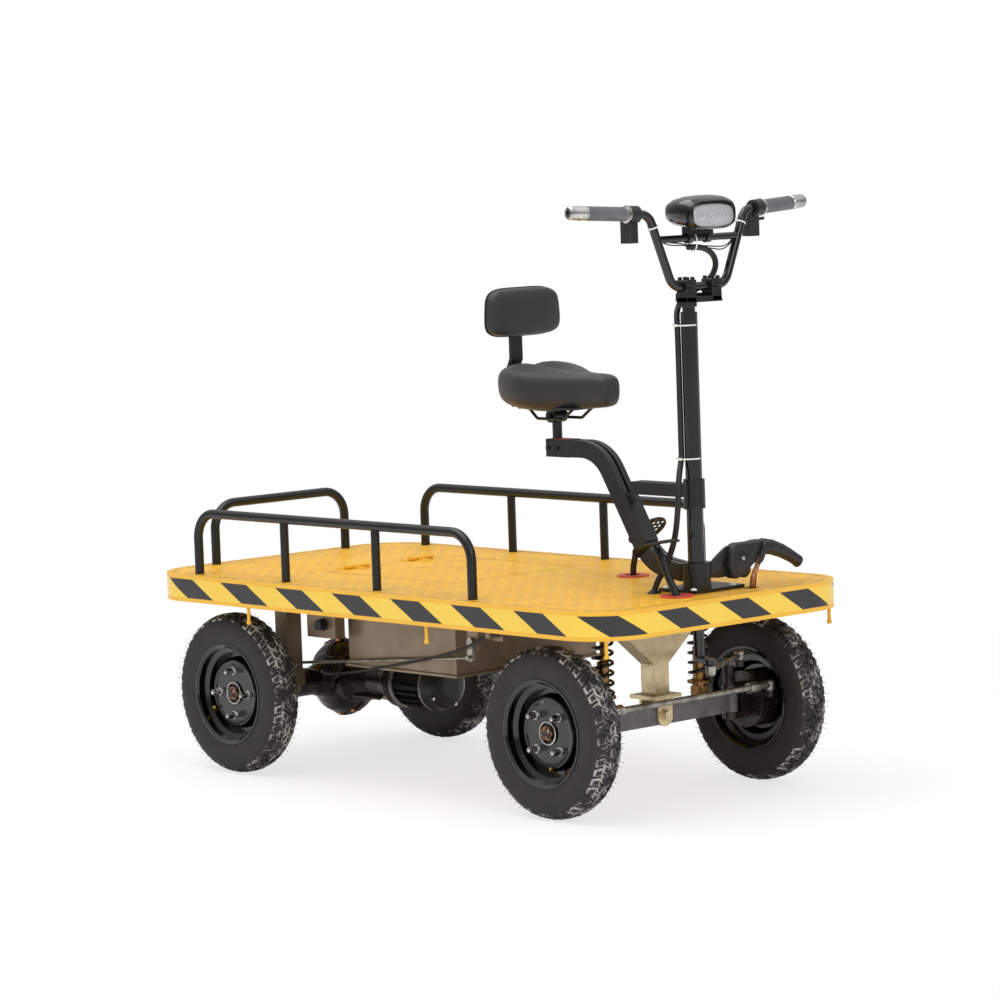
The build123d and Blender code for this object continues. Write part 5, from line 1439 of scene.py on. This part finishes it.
# %% Hand brake
BRAKE_X = 800.0
BRAKE_BRACKET = ((20, 578), (20, 604), (62, 632), (92, 648), (110, 640), (110, 600), (96, 568), (34, 568))
BRAKE_SHROUD = ((84, 566), (74, 604), (92, 652), (150, 649), (186, 653), (216, 650), (216, 618), (184, 602),
                (150, 588), (146, 566), (128, 560), (122, 572), (104, 560))
BRAKE_ARM = ((141, 500), (141, 556), (166, 598), (184, 622), (192, 622), (174, 584), (155, 556), (155, 500))
BRAKE_SLEEVE = ((164, 594), (184, 622), (192, 648), (216, 648), (202, 620), (180, 590))
# Middle of the grip in y and z, and its radius
GRIP_STATIONS = (
    (196, 634, 16), (205, 634, 20), (240, 628, 19.5), (275, 616, 18), (305, 602, 16.5), (328, 589, 15.5),
    (338, 582, 16.5), (341, 580, 15.5), (338, 581, 12), (320, 592, 11), (318, 593, 0),
)
# Stations before the grip's end, where it turns back into its hollow
GRIP_OUTER = 8
# Width of the grip against its height
GRIP_WIDE = 0.86
# The shroud's parts: outline, from x to x beside the middle, and how far the faces are drawn in
SHROUD_PARTS = ((BRAKE_BRACKET, -12, -3, 1.5), (BRAKE_SHROUD, -17, 17, 5), (BRAKE_SLEEVE, 12, 25, 3))


def cut_corners(outline, times=3):
    """Each side gives two points, a quarter in from both ends, and this is done a few times."""
    points = np.array(outline, float)
    for _ in range(times):
        after = np.roll(points, -1, axis=0)
        points = np.stack((0.75 * points + 0.25 * after, 0.25 * points + 0.75 * after), axis=1).reshape(-1, 2)
    return points


def moulded(outline, x0, x1, edge):
    """Outline in y and z carried along x and drawn in by `edge` towards its middle at both faces."""
    middle = outline.mean(axis=0)
    inward = middle - outline
    drawn = outline + edge * inward / np.linalg.norm(inward, axis=1)[:, None]
    flat = np.broadcast_to(middle, outline.shape)
    rows = ((x0, flat), (x0, drawn), (x0 + edge, outline), (x1 - edge, outline), (x1, drawn), (x1, flat))
    return net(np.array([np.column_stack((np.full(len(outline), x), row)) for x, row in rows]) * MM)


def curved_grip():
    """Circles square to a curve in the plane x = 800, each with its own radius, back into the hollow end."""
    table = np.array(GRIP_STATIONS, float)
    t = full_turn(28)
    run = np.gradient(table[:GRIP_OUTER, :2], axis=0)
    run = np.vstack((run, np.repeat(run[-1:], len(table) - GRIP_OUTER, axis=0)))
    run /= np.linalg.norm(run, axis=1)[:, None]
    rows = []
    for (y, z, radius), (dy, dz) in zip(table, run):
        across, high = radius * GRIP_WIDE * np.cos(t), radius * np.sin(t)
        rows.append(np.column_stack((BRAKE_X + across, y - dz * high, z + dy * high)))
    rows.insert(0, np.broadcast_to(rows[0].mean(axis=0), rows[0].shape))
    return net(np.array(rows) * MM)


def make_hand_brake():
    """Shroud with bracket and sleeve, grip, and the arm with its lower end in the deck's slot."""
    shroud = [moulded(cut_corners(outline), BRAKE_X + x0, BRAKE_X + x1, edge)
              for outline, x0, x1, edge in SHROUD_PARTS]
    piece("hand_brake_shroud", join(shroud), finish["black_moulded_plastic"], "root", ("hand_brake",), 50)
    piece("hand_brake_grip", curved_grip(), finish["black_moulded_plastic"], "root", sharp=50)
    arm = moulded(cut_corners(BRAKE_ARM, 2), BRAKE_X + 16, BRAKE_X + 22, 1)
    piece("hand_brake_arm", arm, finish["copper_plated_bolt"], "root")
    bolt = bolt_head((BRAKE_X + 17, 118, 612), (1, 0, 0), 12, 5)
    piece("hand_brake_bolt", bolt, finish["bright_plated_steel"], "root")


make_hand_brake()

# %% [markdown]
# ## Pedals
# The right pedal is a thin spoon-shaped casting whose rear end is turned down, on a flat arm. The left one
# is an open grid in a ring. The solids have both as plain plates, so both are made again here: the spoon
# as flat ovals along a bent line, and the grid as bars cut to the length of their chord.

# %% Pedals
# Places along the right tread, from its turned-down rear end: x and z of its middle and half its width
TREAD_STATIONS = (
    (657, 626, 9), (660, 636, 20), (667, 646, 27), (680, 654, 31), (700, 660, 33),
    (725, 665, 33), (750, 669, 31), (775, 673, 25), (792, 675, 17), (802, 676, 7),
)
TREAD_Y = -93
TREAD_HALF_THICK = 3.5
# The stations that carry a rib, and a rib's share of their half width
RIBBED = slice(3, 8)
RIB_SHARE = 0.8
LEFT_TREAD = (432.0, 166.0, 658.0)
LEFT_TREAD_RADIUS = 52.0
LEFT_TREAD_SLOPE = math.radians(40)
RIGHT_ARM = ((809, TREAD_Y, 510), (768, TREAD_Y, 577), (727, TREAD_Y, 652))
LEFT_ARM = ((374, 166, 505), (376, 166, 560), (390, 166, 610), (430, 166, 652))


def right_tread():
    """Flat ovals: P(s, t) = middle(s) + (0, half width cos t, 3.5 sin t), turned square to the line."""
    table = np.array(TREAD_STATIONS, float)
    run = np.gradient(table[:, :2], axis=0)
    run /= np.linalg.norm(run, axis=1)[:, None]
    t = full_turn(32)[None, :]
    rise = TREAD_HALF_THICK * np.sin(t)
    x = table[:, :1] - run[:, 1:] * rise
    y = TREAD_Y + table[:, 2:] * squarer(np.cos(t), 0.8)
    z = table[:, 1:2] + run[:, :1] * rise
    return closed(np.stack((x, y, z), axis=-1))


def left_grid():
    """Ring, six bars one way and six the other, each as long as its chord, on the sloping plane."""
    along = np.array((math.cos(LEFT_TREAD_SLOPE), 0, math.sin(LEFT_TREAD_SLOPE)))
    across = np.array((0, 1.0, 0))
    middle = np.array(LEFT_TREAD)
    t = np.linspace(0, 2 * np.pi, 49)
    ring = middle + LEFT_TREAD_RADIUS * (np.outer(np.cos(t), along) + np.outer(np.sin(t), across))
    bars = [tube(ring * MM, 3.4, 10)]
    for offset in np.linspace(-40, 40, 6):
        chord = math.sqrt(LEFT_TREAD_RADIUS ** 2 - offset ** 2)
        for first, second in ((along, across), (across, along)):
            ends = middle + offset * first + np.outer((-chord, 0, chord), second)
            bars.append(tube(ends * MM, 2.4, 8))
    return join(bars)


def tread_ribs():
    """Low ribs across the right tread, each a little higher in its middle."""
    ribs = []
    for x, z, half in TREAD_STATIONS[RIBBED]:
        reach = RIB_SHARE * half
        line = np.array(((x, TREAD_Y - reach, z + 3), (x, TREAD_Y, z + 3.4), (x, TREAD_Y + reach, z + 3)))
        ribs.append(tube(line * MM, 2.0, 8))
    return join(ribs)


def make_pedals():
    """Both treads, their arms, and the ribs on the right one."""
    piece("pedal_tread_right", right_tread(), finish["black_moulded_rubber"], "root", ("pedals",), 50)
    arms = (tube(np.array(RIGHT_ARM) * MM, 9.5, 8), tube(np.array(LEFT_ARM) * MM, 8.5, 12))
    piece("pedal_arms", join(arms), finish["satin_black_powder_coat"], "root")
    piece("pedal_grid_left", left_grid(), finish["black_moulded_rubber"], "root")
    piece("pedal_ribs", tread_ribs(), finish["satin_black_powder_coat"], "root")


make_pedals()

# %% [markdown]
# ## Floor and light
# A studio floor is pale paper and the light is soft. One large lamp overhead is the main light, a lower
# one in front opens the shadows, and the world fills in. The camera sees the world as white. Reflections
# see a studio instead, with dim walls and a white ceiling, so that black enamel stays black on its sides
# and shines on top. The paper fades to pure white away from the truck, and the shadows on it stay.

# %% Floor and light
FLOOR_RADIUS = 30.0
# The paper lies this little under the tyres
FLOOR_DROP = 0.0005
# From how far to how far out, in metres, the paper fades to pure white
FADE = (1.4, 3.2)
# How far its shadows are lifted towards white before that
SHADOW_LIFT = 0.70
# Strength of the world as a light, and of the walls that a mirror sees at the horizon
FILL_STRENGTH = 0.78
WALL_STRENGTH = 0.22
# Upward part of a direction at which the walls end and the ceiling begins
CEILING = (0.05, 0.75)


def make_floor():
    """Disc with its rim at (r cos t, r sin t, 0), whose paper glows for the camera with the distance."""
    t = full_turn(64)
    rim = np.stack([FLOOR_RADIUS * np.cos(t), FLOOR_RADIUS * np.sin(t), 0 * t - FLOOR_DROP], axis=1)
    mesh = bpy.data.meshes.new("studio_floor")
    mesh.from_pydata(rim.tolist(), [], [list(range(len(rim)))])
    material, tree, shader = start_material("matt_white_paper", Roughness=0.9, Specular_IOR_Level=0.2)
    place = add(tree, "ShaderNodeTexCoord").outputs["Object"]
    cloud = add(tree, "ShaderNodeTexNoise", {"Scale": 3.0, "Detail": 3}, {"Vector": place})
    paper = add(tree, "ShaderNodeMix", {"data_type": "RGBA", 6: linear("#fbfbfb"), 7: linear("#ffffff")},
                {0: cloud.outputs[0]})
    tree.links.new(paper.outputs[2], shader.inputs["Base Color"])
    seen = add(tree, "ShaderNodeLightPath").outputs["Is Camera Ray"]
    far = add(tree, "ShaderNodeVectorMath", {"operation": "LENGTH"}, {0: place}).outputs["Value"]
    fade = add(tree, "ShaderNodeMapRange", {"From Min": FADE[0], "From Max": FADE[1], "To Min": SHADOW_LIFT},
               {"Value": far})
    lift = work_out(tree, (("lift", "MULTIPLY", "seen", "fade"),), seen=seen, fade=fade.outputs[0])
    glow = add(tree, "ShaderNodeEmission", {"Color": (1, 1, 1, 1)})
    both = add(tree, "ShaderNodeMixShader", links={0: lift["lift"], 1: shader.outputs[0], 2: glow.outputs[0]})
    output = next(node for node in tree.nodes if node.type == "OUTPUT_MATERIAL")
    tree.links.new(both.outputs[0], output.inputs["Surface"])
    mesh.materials.append(material)
    floor = bpy.data.objects.new("studio_floor", mesh)
    bpy.context.scene.collection.objects.link(floor)


def make_world():
    """White for the camera, walls and a white ceiling for reflections, and a softer fill as light."""
    world = bpy.data.worlds.new("studio")
    world.use_nodes = True
    tree = world.node_tree
    tree.nodes.clear()
    ray = add(tree, "ShaderNodeLightPath").outputs
    rays = work_out(tree, (("both", "ADD", "camera", "glass"), ("seen", "MINIMUM", "both", 1.0)),
                    camera=ray["Is Camera Ray"], glass=ray["Is Transmission Ray"])
    strength = add(tree, "ShaderNodeMapRange", {"To Min": FILL_STRENGTH, "To Max": 1.0},
                   {"Value": rays["seen"]})
    way = add(tree, "ShaderNodeTexCoord").outputs["Generated"]
    up = add(tree, "ShaderNodeSeparateXYZ", links={"Vector": way}).outputs[2]
    wall = add(tree, "ShaderNodeMapRange",
               {"From Min": CEILING[0], "From Max": CEILING[1], "To Min": WALL_STRENGTH}, {"Value": up})
    mirrored = add(tree, "ShaderNodeMix", {"data_type": "FLOAT"},
                   {0: ray["Is Glossy Ray"], 2: strength.outputs[0], 3: wall.outputs[0]})
    back = add(tree, "ShaderNodeBackground", {"Color": (1, 1, 1, 1)}, {"Strength": mirrored.outputs[0]})
    add(tree, "ShaderNodeOutputWorld", links={"Surface": back.outputs[0]})
    bpy.context.scene.world = world


# Name, place, aim, width, height and watts of each lamp
LAMPS = (
    ("overhead_softbox", (-0.6, -1.2, 4.6), (0.0, 0.0, 0.4), 4.5, 3.5, 110),
    ("front_softbox", (5.0, -1.5, 2.6), (0.4, 0.0, 0.6), 2.4, 2.4, 45),
)


def make_lamp(name, place, aim, width, height, watts):
    """Area lamp turned to its aim: its -Z axis points along aim minus place."""
    data = bpy.data.lights.new(name, "AREA")
    data.shape = "RECTANGLE"
    data.size = width
    data.size_y = height
    data.energy = watts
    lamp = bpy.data.objects.new(name, data)
    back = np.array(place, float) - np.array(aim)
    back /= np.linalg.norm(back)
    right = np.cross((0, 0, 1), back)
    right /= np.linalg.norm(right)
    turn = np.eye(4)
    turn[:3, 0] = right
    turn[:3, 1] = np.cross(back, right)
    turn[:3, 2] = back
    turn[:3, 3] = place
    lamp.matrix_world = turn.T
    bpy.context.scene.collection.objects.link(lamp)


make_floor()
make_world()
for lamp in LAMPS:
    make_lamp(*lamp)
print("lamps:", len(LAMPS))
